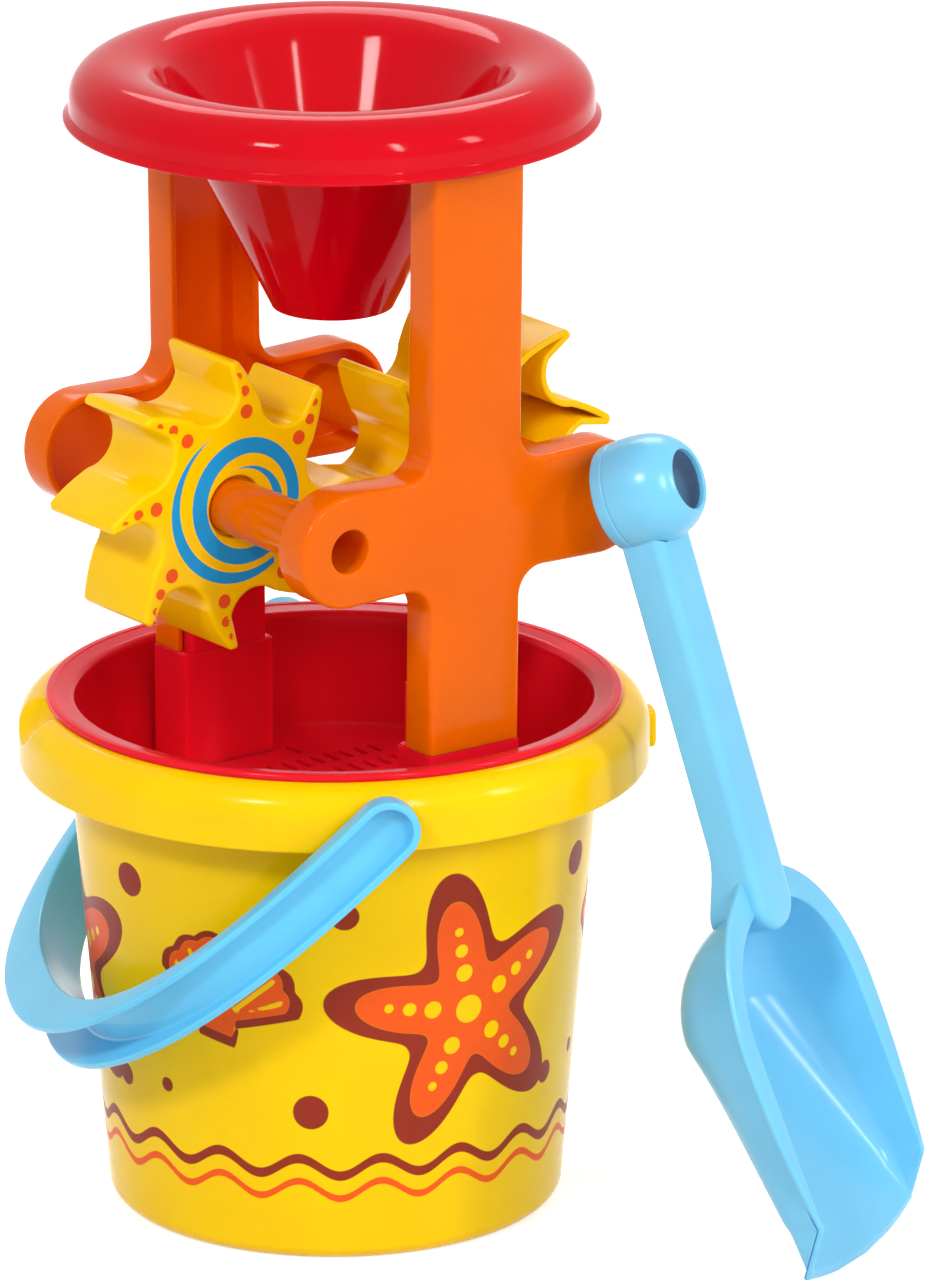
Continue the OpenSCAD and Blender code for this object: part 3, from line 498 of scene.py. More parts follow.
# Sieve tray
# Injection-moulded polypropylene in a clear red. A thin dish whose rim lies on the bucket's, with a raised
# lip outside, a slotted floor for sieving, and two hollow posts that the mill's columns stand on.
tray_gap, tray_wall, tray_rim_r, tray_rim_z, tray_lip_w, tray_steps = 2.4, 2.0, 82.2, 150.6, 2.7, 288
lip_lean, band_drop, band_fall, band_in, flare_z = 0.25, 0.35, 0.75, 3.4, 128
floor_z, floor_t, floor_r, foot_round, inner_foot_round = 115.0, 2.0, 64.6, 7, 5
post_half, post_in, post_out, post_top, post_wall = 15.5, 51.0, 67.0, 149.8, 2.0
plug_half, plug_out, plug_top, mouth_out = 13.0, 64.5, 167.8, 62.8
post_corner, post_round, post_sink, ledge_step = 0.7, 0.6, 1.6, 0.01
slot_w, slot_l, slot_round, slot_pitch, row_pitch, sieve_r, slot_gap = 2.0, 8.0, 0.5, 5, 12, 58, 2


def left_of(v):
    """Unit vectors a quarter turn to the left of the given ones."""
    v = v / np.linalg.norm(v, axis=-1, keepdims=True)
    return np.stack([-v[..., 1], v[..., 0]], -1)


def encloses(loops, p):
    """Whether points lie inside an odd number of the loops, by the sides that a ray to the right crosses."""
    a = np.vstack(loops)
    b = np.vstack([np.roll(loop, -1, 0) for loop in loops])
    x, y = p[:, :1], p[:, 1:]
    spans = (a[:, 1] > y) != (b[:, 1] > y)
    with np.errstate(divide="ignore", invalid="ignore"):
        cross = a[:, 0] + (y - a[:, 1]) * (b[:, 0] - a[:, 0]) / (b[:, 1] - a[:, 1])
    return (spans & (cross > x)).sum(1) % 2 == 1


def cap(loops, grid=0.0):
    """Triangles that fill an outline round its holes, on a triangular grid where its step is given."""
    row_share, clear_share, batch, weld = 0.87, 0.5, 2000, 1e-5
    points, edges = np.vstack(loops), []
    for loop in loops:
        i = np.arange(len(loop)) + sum(len(k) for k in loops[: len(edges)])
        edges.append(np.column_stack([i, np.roll(i, -1)]))
    if grid:
        low, high = points.min(0), points.max(0)
        x, y = np.meshgrid(np.arange(low[0], high[0], grid), np.arange(low[1], high[1], grid * row_share))
        x = x + grid / 2 * (np.arange(len(x)) % 2)[:, None]
        more = np.column_stack([x.ravel(), y.ravel()])
        more = more[encloses(loops, more)]
        lots = [more[i : i + batch, None] for i in range(0, len(more), batch)]
        clear = np.concatenate([np.linalg.norm(lot - points, axis=-1).min(1) for lot in lots])
        points = np.vstack([points, more[clear > grid * clear_share]])
    made = delaunay_2d_cdt([Vector(p) for p in points], np.vstack(edges).tolist(), [], 0, weld)
    v, f = np.array([tuple(p) for p in made[0]]), np.array(made[2])
    return v, f[encloses(loops, v[f].mean(1))]


def flat_at(v, z):
    """Flat points lifted to a height."""
    return np.column_stack([v, np.full(len(v), z)])


def box_loop(half, near, far, r):
    """Rectangle with rounded corners, seen from above."""
    return rounded([[half, near], [half, far], [-half, far], [-half, near]], [r] * 4, 3, closed=True)


under_z, band_z, lip_r = floor_z - floor_t, tray_rim_z - band_drop, tray_rim_r - tray_lip_w
corners = np.array(
    [
        (floor_r, under_z, 0),
        (wall_r(under_z) - tray_gap, under_z, foot_round),
        (wall_r(bucket_h) - tray_gap, bucket_h, 0.6),
        (tray_rim_r, bucket_h, 0.4),
        (tray_rim_r, tray_rim_z, 1.0),
        (lip_r + lip_lean, tray_rim_z, 0.35),
        (lip_r, band_z, 0.3),
        (top_r - band_in, band_z - band_fall, 2.4),
        (wall_r(flare_z) - tray_gap - tray_wall, flare_z, 0),
        (wall_r(floor_z) - tray_gap - tray_wall, floor_z, inner_foot_round),
        (floor_r, floor_z, 0),
    ]
)
dish = spun(spread(rounded(corners[:, :2], corners[:, 2], 8), 4), tray_steps)
rim_line = dish[0, :, :2]
slots = []
for x in slot_pitch * np.arange(-11, 12):
    for y in row_pitch * np.arange(-4, 5):
        inside = math.hypot(abs(x) + slot_w / 2, abs(y) + slot_l / 2) < sieve_r
        if inside and not (abs(x) < post_half + slot_gap and abs(y) > post_in - slot_l):
            slots.append(box_loop(slot_w / 2, -slot_l / 2, slot_l / 2, slot_round) + (x, y))
mouth = box_loop(post_half - post_wall, post_in + post_wall, mouth_out, slot_round)
holes = [*slots, mouth, -mouth]
parts = [(dish, quads(len(dish), tray_steps, wrap_v=True))]
for z in (floor_z, under_z):
    points, faces = cap([rim_line, *holes])
    parts.append((flat_at(points, z), faces))
for loop in holes:
    sides = np.stack([flat_at(loop, floor_z), flat_at(loop, under_z)])
    parts.append((sides, quads(2, len(loop), wrap_v=True)))

# A post is a wide block with the plug on it, open below. Rings 0 to 5 go up outside and 6 to 11 down
# inside; lids close rings 5 and 6, and ring 11 meets ring 0 at the foot.
rings = []
for thinner, edge_round in ((0, post_round), (post_wall, 0.0)):
    wide = (post_half - thinner, post_in + thinner, post_out - thinner)
    slim = (plug_half - thinner, post_in + thinner, plug_out - thinner)
    ledge, crown = post_top - thinner, plug_top - thinner
    levels = [(wide, floor_z - post_sink, 0), (wide, ledge - edge_round, 0), (wide, ledge, edge_round)]
    levels += [(slim, ledge + ledge_step, 0), (slim, crown - edge_round, 0), (slim, crown, edge_round)]
    sides = [
        flat_at(box_loop(half - d, near + d, far - d, post_corner), z)
        for (half, near, far), z, d in levels
    ]
    rings += sides[::-1] if thinner else sides
rings = np.stack(rings)
n = rings.shape[1]
faces = quads(6, n, wrap_v=True)
post_faces = [*faces.tolist(), *(faces + 6 * n).tolist()]
post_faces += [(np.arange(n) + k * n).tolist() for k in (5, 6)]
post_faces += [[i, (i + 1) % n, (i + 1) % n + 11 * n, i + 11 * n] for i in range(n)]
for sign in (1, -1):
    parts.append((rings * (sign, sign, 1), post_faces))
tray_red = moulded("polypropylene_moulded_red", "E81428", 0.15, 0.8, reach_mm=6)
piece("sieve_tray_shell", parts, tray_red, "tray", "sieve_tray")


# Mill frame
# Two identical halves in moulded orange polypropylene, each a column crossed by two arms and hollow from
# behind. A long tube on one arm carries a wheel, and the other arm is plain.
column_half, arm_x, arm_z, arm_r, arm_root_half, arm_fillet = 15.5, 43.7, 215.1, 16.5, 15.73, 8
foot_z, column_top_z, top_round, frame_depth, frame_wall = 149.8, 325.6, 1.5, 12.0, 2.2
column_face, splay_deg, outline_step, bore_steps = 67.0, 0.92, 6, 64
bore_r, bore_round, tube_r, tube_end, tube_bevel = 6.3, 0.8, 8.0, -37.6, 0.4


def inset(path, d, closed=True):
    """Outline moved to its left by d, each point along the mitre of its two sides. Points that come nearer
    than d to another side gather where the sides that stay cross."""
    slack, parallel = 0.03, 1e-9
    ahead, behind = np.roll(path, -1, 0) - path, path - np.roll(path, 1, 0)
    if not closed:
        ahead[-1], behind[0] = behind[-1], ahead[0]
    a, b = left_of(behind), left_of(ahead)
    moved = path + d * (a + b) / (1 + (a * b).sum(1, keepdims=True))
    start, along = (path, ahead) if closed else (path[:-1], ahead[:-1])
    t = ((moved[:, None] - start) * along).sum(-1) / (along**2).sum(-1)
    near = start + np.clip(t, 0, 1)[..., None] * along
    bad = np.linalg.norm(moved[:, None] - near, axis=-1).min(1) < abs(d) - slack
    n = len(path)
    for i in np.flatnonzero(bad & ~np.roll(bad, 1)):
        run = i + np.arange(n)
        run = run[: np.argmin(bad[run % n])] % n
        before, after = (run[0] - 1) % n, (run[-1] + 1) % n
        u, v = moved[before] - moved[before - 1], moved[(after + 1) % n] - moved[after]
        gap, turn = moved[after] - moved[before], u[0] * v[1] - u[1] * v[0]
        share = (gap[0] * v[1] - gap[1] * v[0]) / turn if abs(turn) > parallel else 0
        moved[run] = moved[before] + share * u
    return moved


def shell_rows(front_round, back_round, inner_round, wall, depth, n=5):
    """Rows (inwards, deep) round an open shell's section: front edge, rim behind, inner corner."""
    s, c = quarter(n)
    return np.vstack(
        [
            np.column_stack([front_round * (1 - s), front_round * c]),
            np.column_stack([back_round * c, depth - back_round * (1 - s)]),
            np.column_stack([wall - back_round * (1 - s), depth - back_round * c]),
            np.column_stack([wall + inner_round * c, wall + inner_round * (1 - s)]),
        ]
    )


def mouth_rows(r, by):
    """Rows (r, depth) of a hole's rounded mouth, which narrows to r."""
    return [(r + by * (1 - s), by * c) for s, c in zip(*quarter())]


def placed(v, w):
    """Points (x, z) at depth w behind the frame's leaning face."""
    y = column_face + (v[..., 1] - foot_z) * math.tan(math.radians(splay_deg)) - w
    return np.stack([v[..., 0], y, v[..., 1]], -1)


def circle(r):
    """Circle about the tube's axis, seen from the front."""
    return unit_circle * r + (arm_x, arm_z)


t = np.radians(np.arange(bore_steps) * 360 / bore_steps)
unit_circle = np.column_stack([np.cos(t), np.sin(t)])
low_root, high_root = (column_half, arm_z - arm_root_half), (column_half, arm_z + arm_root_half)
low_corners = [(column_half, foot_z), low_root, (arm_x, arm_z - arm_r)]
high_corners = [(arm_x, arm_z + arm_r), high_root, (column_half, column_top_z), (0, column_top_z)]
right = np.vstack(
    [
        rounded(low_corners, [0, arm_fillet, 0], 8)[:-1],
        oval((arm_x, arm_z), arm_r, arm_r, -90, 90, 44),
        rounded(high_corners, [0, arm_fillet, top_round, 0], 8)[1:],
    ]
)
outline = spread(np.vstack([right, (right * (-1, 1))[-2::-1]]), outline_step)
steps = shell_rows(1.6, 0.7, 1.0, frame_wall, frame_depth)
rings = np.stack([inset(outline, d, closed=False) for d in steps[:, 0]])
skin = placed(rings, steps[:, 1][:, None])

# The bore's rings follow the leaning plate at both ends and are square to the tube between them
plate_rows = [*mouth_rows(bore_r, bore_round), (bore_r, frame_wall)]
tube_rows = [(bore_r, tube_end + tube_bevel), (bore_r + tube_bevel, tube_end)]
tube_rows += [(tube_r - tube_bevel, tube_end), (tube_r, tube_end + tube_bevel)]
at_plate = [placed(circle(r), w) for r, w in plate_rows]
on_tube = [np.insert(circle(r), 1, y, axis=1) for r, y in tube_rows]
tube = np.stack([*at_plate, *on_tube, placed(circle(tube_r), frame_wall)])
front, front_faces = cap([rings[0], circle(bore_r + bore_round)])
back, back_faces = cap([rings[-1], circle(tube_r)])
foot = np.column_stack([rings[:, 0, 0], steps[:, 1]])
foot, foot_faces = cap([np.vstack([foot, (foot * (-1, 1))[::-1]])])
foot = placed(np.column_stack([foot[:, 0], np.full(len(foot), foot_z)]), foot[:, 1])
frame_orange = moulded("polypropylene_moulded_orange", "E66700", 0.15, 0.8, reach_mm=6)
for name, turn in (("front_frame", 180), ("rear_frame", 0)):
    piece(
        name + "_shell",
        [
            (skin, quads(len(steps), len(outline))),
            (placed(front, 0), front_faces),
            (placed(back, frame_wall), back_faces),
            (foot, foot_faces),
            (tube, quads(len(tube), bore_steps, wrap_v=True)),
        ],
        frame_orange,
        "mill",
        name,
        turned(turn),
    )


# Scoop wheels
# Two thin-walled wheels in yellow polypropylene, open at one side, that sand turns as it fills the hooked
# scoops. The closed face is pad printed with a blue swirl and a row of orange dots on each tooth.
teeth, tip_r, tip_round, wheel_w, wheel_wall, wheel_open = 8, 42.2, 1.4, 30.6, 2.0, 17.3
scoop_at_r, scoop_at_deg, scoop_r, scoop_from, scoop_to = 35.3, 12, 9.3, 255, 139
cut_r, hook_deg, bow_deg, bow_rise, wheel_step = 43.2, 1.2, 43, 0.65, 1.5
face_bore, face_round, hub_in, hub_out, hub_bevel, hub_bevel_in = 8.95, 0.5, 8.05, 10.25, 0.4, 0.35
print_step, left_lean, right_lean = 0.62, 1.0, -3.5


def polar(r, degrees):
    """Point at a radius and an angle."""
    return r * np.array([math.cos(math.radians(degrees)), math.sin(math.radians(degrees))])


# One tooth's space: a hooked flank from the tip, the round scoop, and the bowed back of the next tooth
scoop = oval(polar(scoop_at_r, scoop_at_deg), scoop_r, scoop_r, scoop_from, scoop_to, 26)
start, end = polar(cut_r, hook_deg), polar(cut_r, bow_deg)
hook = start + (scoop[0] - start) * np.linspace(0, 1, 60)[:, None]
hook = hook[np.linalg.norm(hook, axis=1) < tip_r][:1]
u = np.linspace(0, 1, 120)[1:, None]
away = left_of(end - scoop[-1]) * (-1)
bow = scoop[-1] + (end - scoop[-1]) * u + 4 * bow_rise * u * (1 - u) * away
bow = bow[np.linalg.norm(bow, axis=1) < tip_r][::-24][::-1]
space = np.vstack([hook, scoop, bow])
tip_radii = np.zeros(len(space))
tip_radii[[0, -1]] = tip_round
wheel_line = np.vstack([space @ turned(360 / teeth * k)[:2, :2].T for k in range(teeth)])
wheel_line = rounded(wheel_line, np.tile(tip_radii, teeth), closed=True)
wheel_line = spread(np.vstack([wheel_line, wheel_line[:1]]), wheel_step)[:-1]
steps = shell_rows(1.2, 0.5, 0.8, wheel_wall, wheel_w)
rings = np.stack([inset(wheel_line, d) for d in steps[:, 0]])


def wheel_point(v, w):
    """Points (x, z) at depth w behind the wheel's closed face."""
    return np.stack([v[..., 0], np.broadcast_to(w, v[..., 0].shape) + wheel_open - wheel_w, v[..., 1]], -1)


skin = wheel_point(rings, steps[:, 1][:, None])
hub_rows = mouth_rows(face_bore, face_round)
hub_rows += [(face_bore, wheel_wall), (hub_in, wheel_wall), (hub_in, wheel_w - hub_bevel)]
hub_rows += [(hub_in + hub_bevel_in, wheel_w), (hub_out - hub_bevel, wheel_w)]
hub_rows += [(hub_out, wheel_w - hub_bevel), (hub_out, wheel_wall)]
hub_line = np.array(hub_rows)
hub = wheel_point(hub_line[:, None, :1] * unit_circle, hub_line[:, 1:])
face, face_faces = cap([rings[0], (face_bore + face_round) * unit_circle], grid=print_step)
floor_in, floor_faces = cap([rings[-1], hub_out * unit_circle])
wheel_yellow = moulded("polypropylene_moulded_sun_yellow", "FFC800", 0.19, 0.4)
ink(wheel_yellow, "swirl_edge", "1C96D2")
ink(wheel_yellow, "dots_edge", "E8541C")

# The swirl's circles as (x, y, r), each pair an outer and an inner one; the dots as (radius on the wheel,
# degrees from the tooth's middle, dot's radius)
broad_circles, broad_gap_deg, broad_gap_half = ((3.6, 1.0, 18.4), (4.1, 0.9, 13.8)), -24, 14
far_circles, far_end_x = ((0.85, 0.3, 22.8), (2.7, 2.2, 21.7)), 13
near_circles, near_end_y = ((3.7, -1.7, 12.8), (2.4, -0.1, 10.7)), 0.5
dot_rows = ((37.7, -3.0, 1.15), (33.35, -6.9, 1.6), (27.4, -9.4, 2.1))


def circle_edge(p, x, y, r):
    """Distance to a circle's edge."""
    return np.hypot(p[:, 0] - x, p[:, 1] - y) - r


def crescent(p, big, small):
    """Distance to what lies inside the first circle and outside the second."""
    return np.maximum(circle_edge(p, *big), -circle_edge(p, *small))


def swirl(p):
    """A broad open ring between an outer and an inner crescent, each the space between two circles."""
    x, y, _ = broad_circles[0]
    gap = np.abs(np.degrees(np.arctan2(p[:, 1] - y, p[:, 0] - x)) - broad_gap_deg)
    broad = np.maximum(crescent(p, *broad_circles), broad_gap_half - gap)
    far = np.maximum(crescent(p, *far_circles), p[:, 0] - far_end_x)
    near = np.maximum(crescent(p, *near_circles), near_end_y - p[:, 1])
    return np.minimum.reduce([broad, far, near])


def dots(p):
    """Three dots up each tooth, that shrink towards its tip."""
    angles = 360 / teeth * np.arange(teeth)
    return np.minimum.reduce(
        [circle_edge(p, *polar(at, tooth + lean), r) for tooth in angles for at, lean, r in dot_rows]
    )


wheel_parts = [
    (wheel_point(face, 0), face_faces),
    (skin, quads(len(steps), len(wheel_line), wrap_v=True)),
    (wheel_point(floor_in, wheel_wall), floor_faces),
    (hub, quads(len(hub_line), bore_steps, wrap_v=True)),
]
unprinted = np.full(sum(points[..., 0].size for points, _ in wheel_parts[1:]), off_print)
wheels = (("left_wheel", -arm_x, 0, left_lean), ("right_wheel", arm_x, 180, right_lean))
for name, x, half_turn, lean in wheels:
    piece(
        name + "_shell",
        wheel_parts,
        wheel_yellow,
        name,
        name,
        turned(half_turn) @ turned(-lean, "Y"),
        (x, 0, arm_z),
        attributes={
            "swirl_edge": np.concatenate([swirl(face), unprinted]),
            "dots_edge": np.concatenate([dots(face), unprinted]),
        },
    )


# Funnel
# Moulded red polypropylene with a high gloss. A hollow ring rolls over into a cone that drops sand onto the
# wheels. Ribs under the ring stop on the columns and guide them; a thin lip runs round its lower edge.
ring_r, crest_r, crest_z, ring_z, ring_h, brim_w, brim_h = 74.02, 62.02, 335.5, 318.5, 10.5, 14.85, 8.0
outlet_r, outlet_z, outlet_h, outlet_flare, funnel_wall = 17.3, 263.5, 4.5, 0.9, 2.0
ring_lip_w, ring_lip_h, ring_lip_top, brim_end_deg, funnel_steps = 1.7, 1.05, 2.75, 165, 288
dents_deg, dent_z, dent_half_deg, dent_half_h, dent_deep, dent_within = (144, -36), 328.5, 6.5, 3.2, 1.1, 58
guide_x, guide_z, stop_x, rib_half, rib_sink, rib_points = 16.9, 320.1, 8, 1, 1.2, 30


def ring_curve(inset_by, a, b, n):
    """Ring's outer half up to 90 degrees, then the brim inside the crest, on two ovals that meet there."""
    t = np.radians(np.linspace(a, b, n + 1))
    wide = np.where(t <= np.pi / 2, ring_r - crest_r, brim_w) - inset_by
    high = np.where(t <= np.pi / 2, ring_h, brim_h)
    return np.column_stack([crest_r + wide * np.cos(t), crest_z - high + (high - inset_by) * np.sin(t)])


over = ring_curve(0, 0, brim_end_deg, 44)
under = ring_curve(funnel_wall, brim_end_deg, 0, 40)
hollow_r, lip_out, ring_side = ring_r - funnel_wall, ring_r + ring_lip_w, crest_z - ring_h
lip = [(hollow_r, ring_side - 1), (hollow_r, ring_z), (lip_out, ring_z), (lip_out, ring_z + ring_lip_h)]
lip += [(ring_r, ring_z + ring_lip_top), (ring_r, ring_side)]
lip = rounded(lip, [0, 0.5, 0.5, 0.6, 0.7, 0], 4)[1:-1]
bore, flare_top = outlet_r - funnel_wall, outlet_z + outlet_h
outlet = [(bore + outlet_flare, flare_top), (bore, outlet_z)]
outlet += [(outlet_r, outlet_z), (outlet_r + outlet_flare, flare_top)]
outlet = rounded(outlet, [0, 0.7, 0.7, 0], 4)[1:-1]
inner_cone = spread(np.array([over[-1], outlet[0]]), 3)[1:-1]
outer_cone = spread(np.array([outlet[-1], under[0]]), 4)[1:-1]
funnel_line = np.vstack([over, inner_cone, outlet, outer_cone, under, lip])
funnel = spun(funnel_line, funnel_steps)

# Two shallow thumb dents in the brim, smooth bumps pressed outwards, that fall off as a fourth power's bell
round_angle = np.degrees(np.arctan2(funnel[..., 1], funnel[..., 0]))
radius = np.hypot(funnel[..., 0], funnel[..., 1])
dent = np.zeros_like(radius)
for at in dents_deg:
    aside = ((round_angle - at + 180) % 360 - 180) / dent_half_deg
    dent += np.exp(-(aside**4) - ((funnel[..., 2] - dent_z) / dent_half_h) ** 4)
dent *= (np.arange(len(funnel_line)) < len(over) + len(inner_cone))[:, None] & (radius < dent_within)
funnel[..., :2] *= (1 + dent_deep * dent / radius)[..., None]


def rib(x, low):
    """Upright plate under the ring at a distance x from its middle: it follows the ring's hollow above."""
    hollow = ring_curve(rib_sink, brim_end_deg, 0, 60)
    hollow = hollow[hollow[:, 1] > low + 0.1]
    r = np.linspace(hollow[0, 0], hollow[-1, 0], rib_points)
    top, low = np.interp(r, hollow[:, 0], hollow[:, 1]), np.full(rib_points, low)
    y = np.sqrt(r**2 - x**2)
    sides = [np.full(rib_points, x + side * rib_half) for side in (-1, 1)]
    rows = [(sides[0], low), (sides[1], low), (sides[1], top), (sides[0], top)]
    return np.stack([np.column_stack([across, y, z]) for across, z in rows])


rib_ends = [[k + row * rib_points for row in range(4)] for k in (0, rib_points - 1)]
rib_faces = [*quads(4, rib_points, wrap_u=True).tolist(), *rib_ends]
parts = [(funnel, quads(len(funnel_line), funnel_steps, wrap_u=True, wrap_v=True))]
for x, low in ((-guide_x, guide_z), (-stop_x, column_top_z), (stop_x, column_top_z), (guide_x, guide_z)):
    for turn in (0, 180):
        parts.append((rib(x, low) @ turned(turn).T, rib_faces))
funnel_red = moulded("polypropylene_polished_red", "CC0015", 0.08, 0.25, 0.5)
piece("funnel_shell", parts, funnel_red, "funnel", "funnel")


# Shovel
# Light blue polypropylene, satin where the mould was not polished. A scoop with a flat flange and a low
# blade, a channel handle that ends in a round tongue on it, and a round head with a hole to hang it by.
shovel_at, shovel_turn, shovel_lean, shovel_roll = (41.7, -78.41, 216.8), -56.9, 68.3, 9.5
belly_r, belly_n, front_reach, back_reach, dome_power = 15.9, 8.0, 17.5, 20.9, 2.4
hole_r, hole_flat, head_low, head_high, head_wall, head_steps = 8.6, 0.95, -0.6, 23.0, 2.0, 96
parting_n, parting_deep, parting_span, head_tilt, head_shift = 3.5, 0.25, 0.45, -5.5, (-1.0, 0.6, 0.5)
grip_l, grip_half, grip_front, grip_t, grip_wall, butt_r, butt_l = 130.1, 9.0, 3.0, 12.8, 2.2, 13.9, 11
root_t, root_l, root_ahead, grip_tilt, grip_step = 19.8, 28, 3, 5.4, 3
scoop_start, scoop_wide, side_end, corner = 105.1, 157.6, 210.1, 223.6
rim_wide, rim_behind, rim_ahead, rim_flare, rim_inside, rim_round = 37.6, 45.5, 100.8, 2.5, 0.6, 1.0
mouth_wide, mouth_behind, mouth_power, mouth_opening = 32.2, 37.5, 2.15, 0.014
scoop_depth, blade_depth, blade_bow, shovel_wall, deepest_behind = 32.5, 10.5, 4.5, 2.0, 5.5
bowl_powers, bowl_drafts, bowl_lip, lip_depth = (3.6, 10.0), (0.12, 0.02), 0.9, 4


def dome(n, by=0.0):
    """Head's radius at a height, drawn in by the wall: it swells to a belly and closes to the hole."""
    reach = np.where(n > belly_n, front_reach, back_reach) - by
    return (belly_r - by) * (1 - np.abs((n - belly_n) / reach) ** dome_power) ** (1 / dome_power)


# The head is a thin cup, open behind, with a fine parting line near its back edge, tilted a little
n = np.concatenate(
    [
        np.linspace(head_low + 1, parting_n - 0.6, 4),
        np.linspace(parting_n - parting_span, parting_n + parting_span, 7),
        np.linspace(parting_n + 0.9, head_high - 0.5, 21),
    ]
)
groove = parting_deep * np.exp(-(((n - parting_n) / parting_deep) ** 2))
outside = np.column_stack([dome(n) - groove, n])
n = np.linspace(head_high - head_wall, head_low + 1, 20)
inside = np.column_stack([dome(n, head_wall), n])
front = [(hole_r + hole_flat, head_high), (hole_r, head_high), (hole_r, head_high - 1.7)]
back = [(dome(head_low, head_wall), head_low), (dome(head_low), head_low)]
head_line = np.vstack([outside, front, inside, back])
radii = np.zeros(len(head_line))
radii[[len(outside), len(outside) + 1, -2, -1]] = 0.45, 0.45, 0.6, 0.8
head_line = rounded(head_line, radii, 5, closed=True)
head = (spun(head_line, head_steps) - (0, 0, belly_n)) @ turned(head_tilt, "X").T
head = head + (0, 0, belly_n) + head_shift

# Handle: rings that follow its outline seen from the front, (inwards, down from the front). The rows behind
# go deeper towards the root by a smooth step.
tongue = oval((grip_l - grip_half, 0), grip_half, grip_half, -90, 90, 40)
plan = spread(np.vstack([[(butt_l, -grip_half)], tongue, [(butt_l, grip_half)]]), grip_step)
steps = shell_rows(3.2, 0.6, 2.8, grip_wall, grip_t, 7)
rings = np.stack([inset(plan, d, closed=False) for d in steps[:, 0]])
rings[:, [0, -1], 0] = np.sqrt(butt_r**2 - rings[:, [0, -1], 1] ** 2)
share = np.clip((rings[..., 0] - scoop_start + root_ahead) / root_l, 0, 1)
deeper = (root_t - grip_t) * share**2 * (3 - 2 * share)
behind = steps[:, 1:] > grip_t / 2
skin = np.stack([rings[..., 0], rings[..., 1], grip_front - steps[:, 1:] - deeper * behind], -1)
top, top_faces = cap([rings[0]])
top = flat_at(top, grip_front)
inner, inner_faces = cap([rings[-1]])
inner = flat_at(inner, grip_front - grip_wall)
butt = np.column_stack([rings[:, 0, 1], skin[:, 0, 2]])
butt, butt_faces = cap([np.vstack([butt, (butt * (-1, 1))[::-1]])])
butt = np.column_stack([np.sqrt(butt_r**2 - butt[:, 0] ** 2), butt])


def tilted(v):
    """Handle's points turned about the end of its tongue, which lifts them towards the head."""
    return (v - (grip_l, 0, 0)) @ turned(grip_tilt, "Y").T + (grip_l, 0, 0)


# Scoop: the half widths of the rim and of the bowl's mouth follow ovals on each side of the widest place.
# Across, the bowl is a superellipse with drafted sides that squares off towards the blade; along, it rises
# behind on an ellipse and runs out straight to the blade.
def rim_half(l):
    """Half width over the flange; behind, a soft maximum lets it flare out from the handle's side."""
    away = (l - scoop_wide) / np.where(l < scoop_wide, rim_behind, rim_ahead)
    half = rim_wide * np.sqrt(np.maximum(0, 1 - away**2))
    least = grip_half - rim_inside
    return least + rim_flare * np.logaddexp((half - least) / rim_flare, 0)


def mouth_half(l, by):
    """Half width of the bowl where it meets the flange, drawn in by a distance."""
    away = np.clip((scoop_wide - l) / (mouth_behind - by), 0, 1)
    half = (mouth_wide - by) * (1 - away**mouth_power) ** (1 / mouth_power)
    return np.minimum(half + mouth_opening * np.maximum(l - scoop_wide, 0), rim_half(l) - by)


def bowl_deep(l, by):
    """Depth of the bowl's middle, drawn in by a distance."""
    mid = scoop_wide - deepest_behind
    away = (mid - l) / (mouth_behind - deepest_behind - by)
    rise = (scoop_depth - by) * np.sqrt(np.maximum(0, 1 - away**2))
    run = scoop_depth - by - (scoop_depth - blade_depth) * (l - mid) / (corner - mid)
    return np.where(l < mid, rise, run)


def skin_of(l, t, by):
    """Bowl's skin at distances l and angles t round it, drawn in by a distance, its half width and top."""
    front = np.clip((l - side_end) / (corner - side_end), 0, 1)
    top = -blade_depth * front
    half = mouth_half(np.minimum(l, side_end), by)
    deep = np.maximum(bowl_deep(l, by) + top, shovel_wall - by)
    square = np.clip((l - scoop_wide) / (corner - scoop_wide), 0, 1) ** 2
    exponent, draft = [a + (b - a) * square for a, b in (bowl_powers, bowl_drafts)]
    fall = np.abs(np.sin(t)) ** (2 / exponent)
    across = power(np.cos(t), 2 / exponent) * (1 - draft * fall)
    down = np.maximum(deep * fall, shovel_wall - by)
    return np.stack([l + blade_bow * front * (1 - across**2), half * across, top - down], -1), half, top


# Both ends are rounded off: the last few stations shrink towards the middle of the wall
mouth_l = scoop_wide - mouth_behind
stations = mouth_l + (corner - 1 - mouth_l) * (1 - np.cos(np.linspace(0, np.pi, 101))) / 2
stations = np.concatenate([np.linspace(scoop_start - 4, mouth_l, 30)[:-1], stations])
s, c = quarter(4)
l = np.concatenate([[stations[0]] * 3, stations, [stations[-1]] * 3])[:, None]
pinch = np.concatenate([s[:3], np.ones(len(stations)), s[2::-1]])[:, None, None]
slide = np.concatenate([c[:3] - 1, np.zeros(len(stations)), 1 - c[2::-1]])[:, None]
t = np.linspace(0, np.pi, 97)[None]
outer, _, top_n = skin_of(l, t, 0.0)
within, inner_half, _ = skin_of(l, t, shovel_wall)
lip_r = bowl_lip * np.clip((bowl_deep(l, shovel_wall) + top_n) / lip_depth, 0, 1)
within[..., 2] = np.minimum(within[..., 2], top_n - lip_r * (np.abs(np.cos(t)) > 0.5))
edge_half = rim_half(np.minimum(l, side_end)) - rim_round
edge_points, lip_points = 9, 5


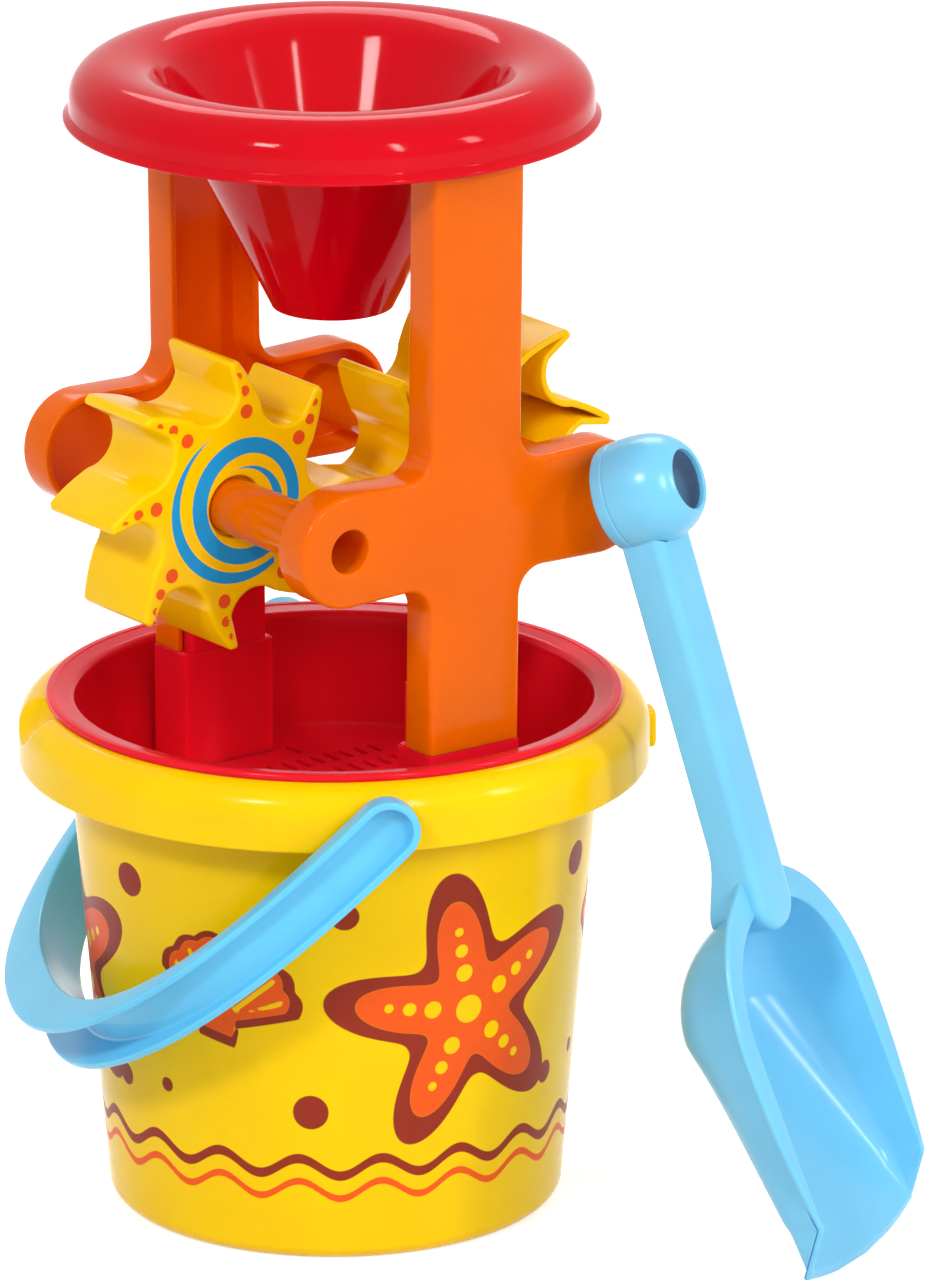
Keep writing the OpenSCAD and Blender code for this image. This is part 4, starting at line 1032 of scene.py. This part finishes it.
def edge(sign):
    """Rounded edge of the flange from its underside to its top, then the lip into the bowl."""
    a = np.linspace(-np.pi / 2, np.pi / 2, edge_points)
    s, c = quarter(lip_points)
    out, up = rim_round * np.cos(a), rim_round * np.sin(a)
    outside = np.stack([l + 0 * a, sign * (edge_half + out), top_n - rim_round + up], -1)
    lip = np.stack([l + 0 * s, sign * (inner_half + lip_r * (1 - s)), top_n - lip_r * c], -1)
    return np.concatenate([outside, lip[:, :-1]], axis=1)


scoop_grid = np.concatenate([edge(1), within, edge(-1)[:, ::-1], outer[:, ::-1]], axis=1)
middle = (within + outer) / 2
rim_middle = [
    np.stack([l, sign * edge_half, top_n - rim_round], -1).repeat(edge_points + lip_points - 1, axis=1)
    for sign in (1, -1)
]
middle = np.concatenate([rim_middle[0], middle, rim_middle[1], middle[:, ::-1]], axis=1)
scoop_grid = middle + (scoop_grid - middle) * pinch
scoop_grid[..., 0] += slide
shovel_blue = moulded("polypropylene_satin_sky_blue", "72C6EC", 0.25, 0.12, 1.6, shine=0.45)
piece(
    "shovel_body",
    [
        (head, quads(len(head_line), head_steps, wrap_u=True, wrap_v=True)),
        (tilted(skin), quads(len(steps), len(plan))),
        (tilted(top), top_faces),
        (tilted(inner), inner_faces),
        (tilted(butt), butt_faces),
        (scoop_grid, quads(len(l), scoop_grid.shape[1], wrap_v=True)),
    ],
    shovel_blue,
    "shovel",
    "shovel",
    turned(shovel_turn) @ turned(shovel_lean, "Y") @ turned(shovel_roll, "X"),
    shovel_at,
)


# Floor and light
# A matt white table sheet in a pale room. Soft boxes light the toy from the left and from the right in
# front, a wide one from behind, and a narrow upright one draws the streak in the funnel.
floor_half_m, floor_glow, room_dim, room_bright = 9, 0.6, 0.52, 1.0
white = (1, 1, 1, 1)

floor_mesh = bpy.data.meshes.new("floor")
floor_corners = [(x * floor_half_m, y * floor_half_m, 0) for x, y in ((-1, -1), (1, -1), (1, 1), (-1, 1))]
floor_mesh.from_pydata(floor_corners, [], [(0, 1, 2, 3)])
floor = bpy.data.objects.new("floor", floor_mesh)
bpy.context.scene.collection.objects.link(floor)


def either(tree, first, second):
    """Greater of two masks, each a node and its output."""
    return add(tree, "ShaderNodeMath", [(0, *first), (1, *second)], operation="MAXIMUM")


sheet = bpy.data.materials.new("matt_white_sheet")
sheet.use_nodes = True
tree = sheet.node_tree
tree.nodes.clear()
path = add(tree, "ShaderNodeLightPath")
seen = either(tree, (path, "Is Camera Ray"), (path, "Is Glossy Ray"))
lit = add(tree, "ShaderNodeBsdfDiffuse", Color=linear("E4E4E4"))
glow = add(tree, "ShaderNodeEmission", Color=white, Strength=floor_glow)
both = add(tree, "ShaderNodeAddShader", [(0, lit, 0), (1, glow, 0)])
mixed = add(tree, "ShaderNodeMixShader", [(0, seen, 0), (1, lit, 0), (2, both, 0)])
add(tree, "ShaderNodeOutputMaterial", [("Surface", mixed, 0)])
floor_mesh.materials.append(sheet)

world = bpy.data.worlds.new("studio")
bpy.context.scene.world = world
world.use_nodes = True
tree = world.node_tree
tree.nodes.clear()
path = add(tree, "ShaderNodeLightPath")
seen = either(tree, (path, "Is Camera Ray"), (path, "Is Glossy Ray"))
seen = either(tree, (seen, 0), (path, "Is Transmission Ray"))
dim = add(tree, "ShaderNodeBackground", Color=white, Strength=room_dim)
bright = add(tree, "ShaderNodeBackground", Color=white, Strength=room_bright)
mixed = add(tree, "ShaderNodeMixShader", [(0, seen, 0), (1, dim, 0), (2, bright, 0)])
add(tree, "ShaderNodeOutputWorld", [("Surface", mixed, 0)])


def softbox(name, at, size, watts, aim=(0, 0, 0.17)):
    """Rectangular area lamp, with its sides in metres, that faces the toy."""
    data = bpy.data.lights.new(name, "AREA")
    data.shape = "RECTANGLE"
    data.size, data.size_y = size
    data.energy = watts
    lamp = bpy.data.objects.new(name, data)
    lamp.location = at
    lamp.rotation_euler = (Vector(aim) - Vector(at)).to_track_quat("-Z", "Y").to_euler()
    bpy.context.scene.collection.objects.link(lamp)


softbox("key", (-2.2, -0.9, 2.0), (0.45, 0.45), 34)
softbox("fill", (1.3, -2.4, 1.4), (0.3, 0.9), 20)
softbox("back", (1.2, 1.8, 2.2), (1.6, 1.0), 24)
softbox("strip", (-0.27, -2.3, 1.5), (0.12, 1.0), 21)
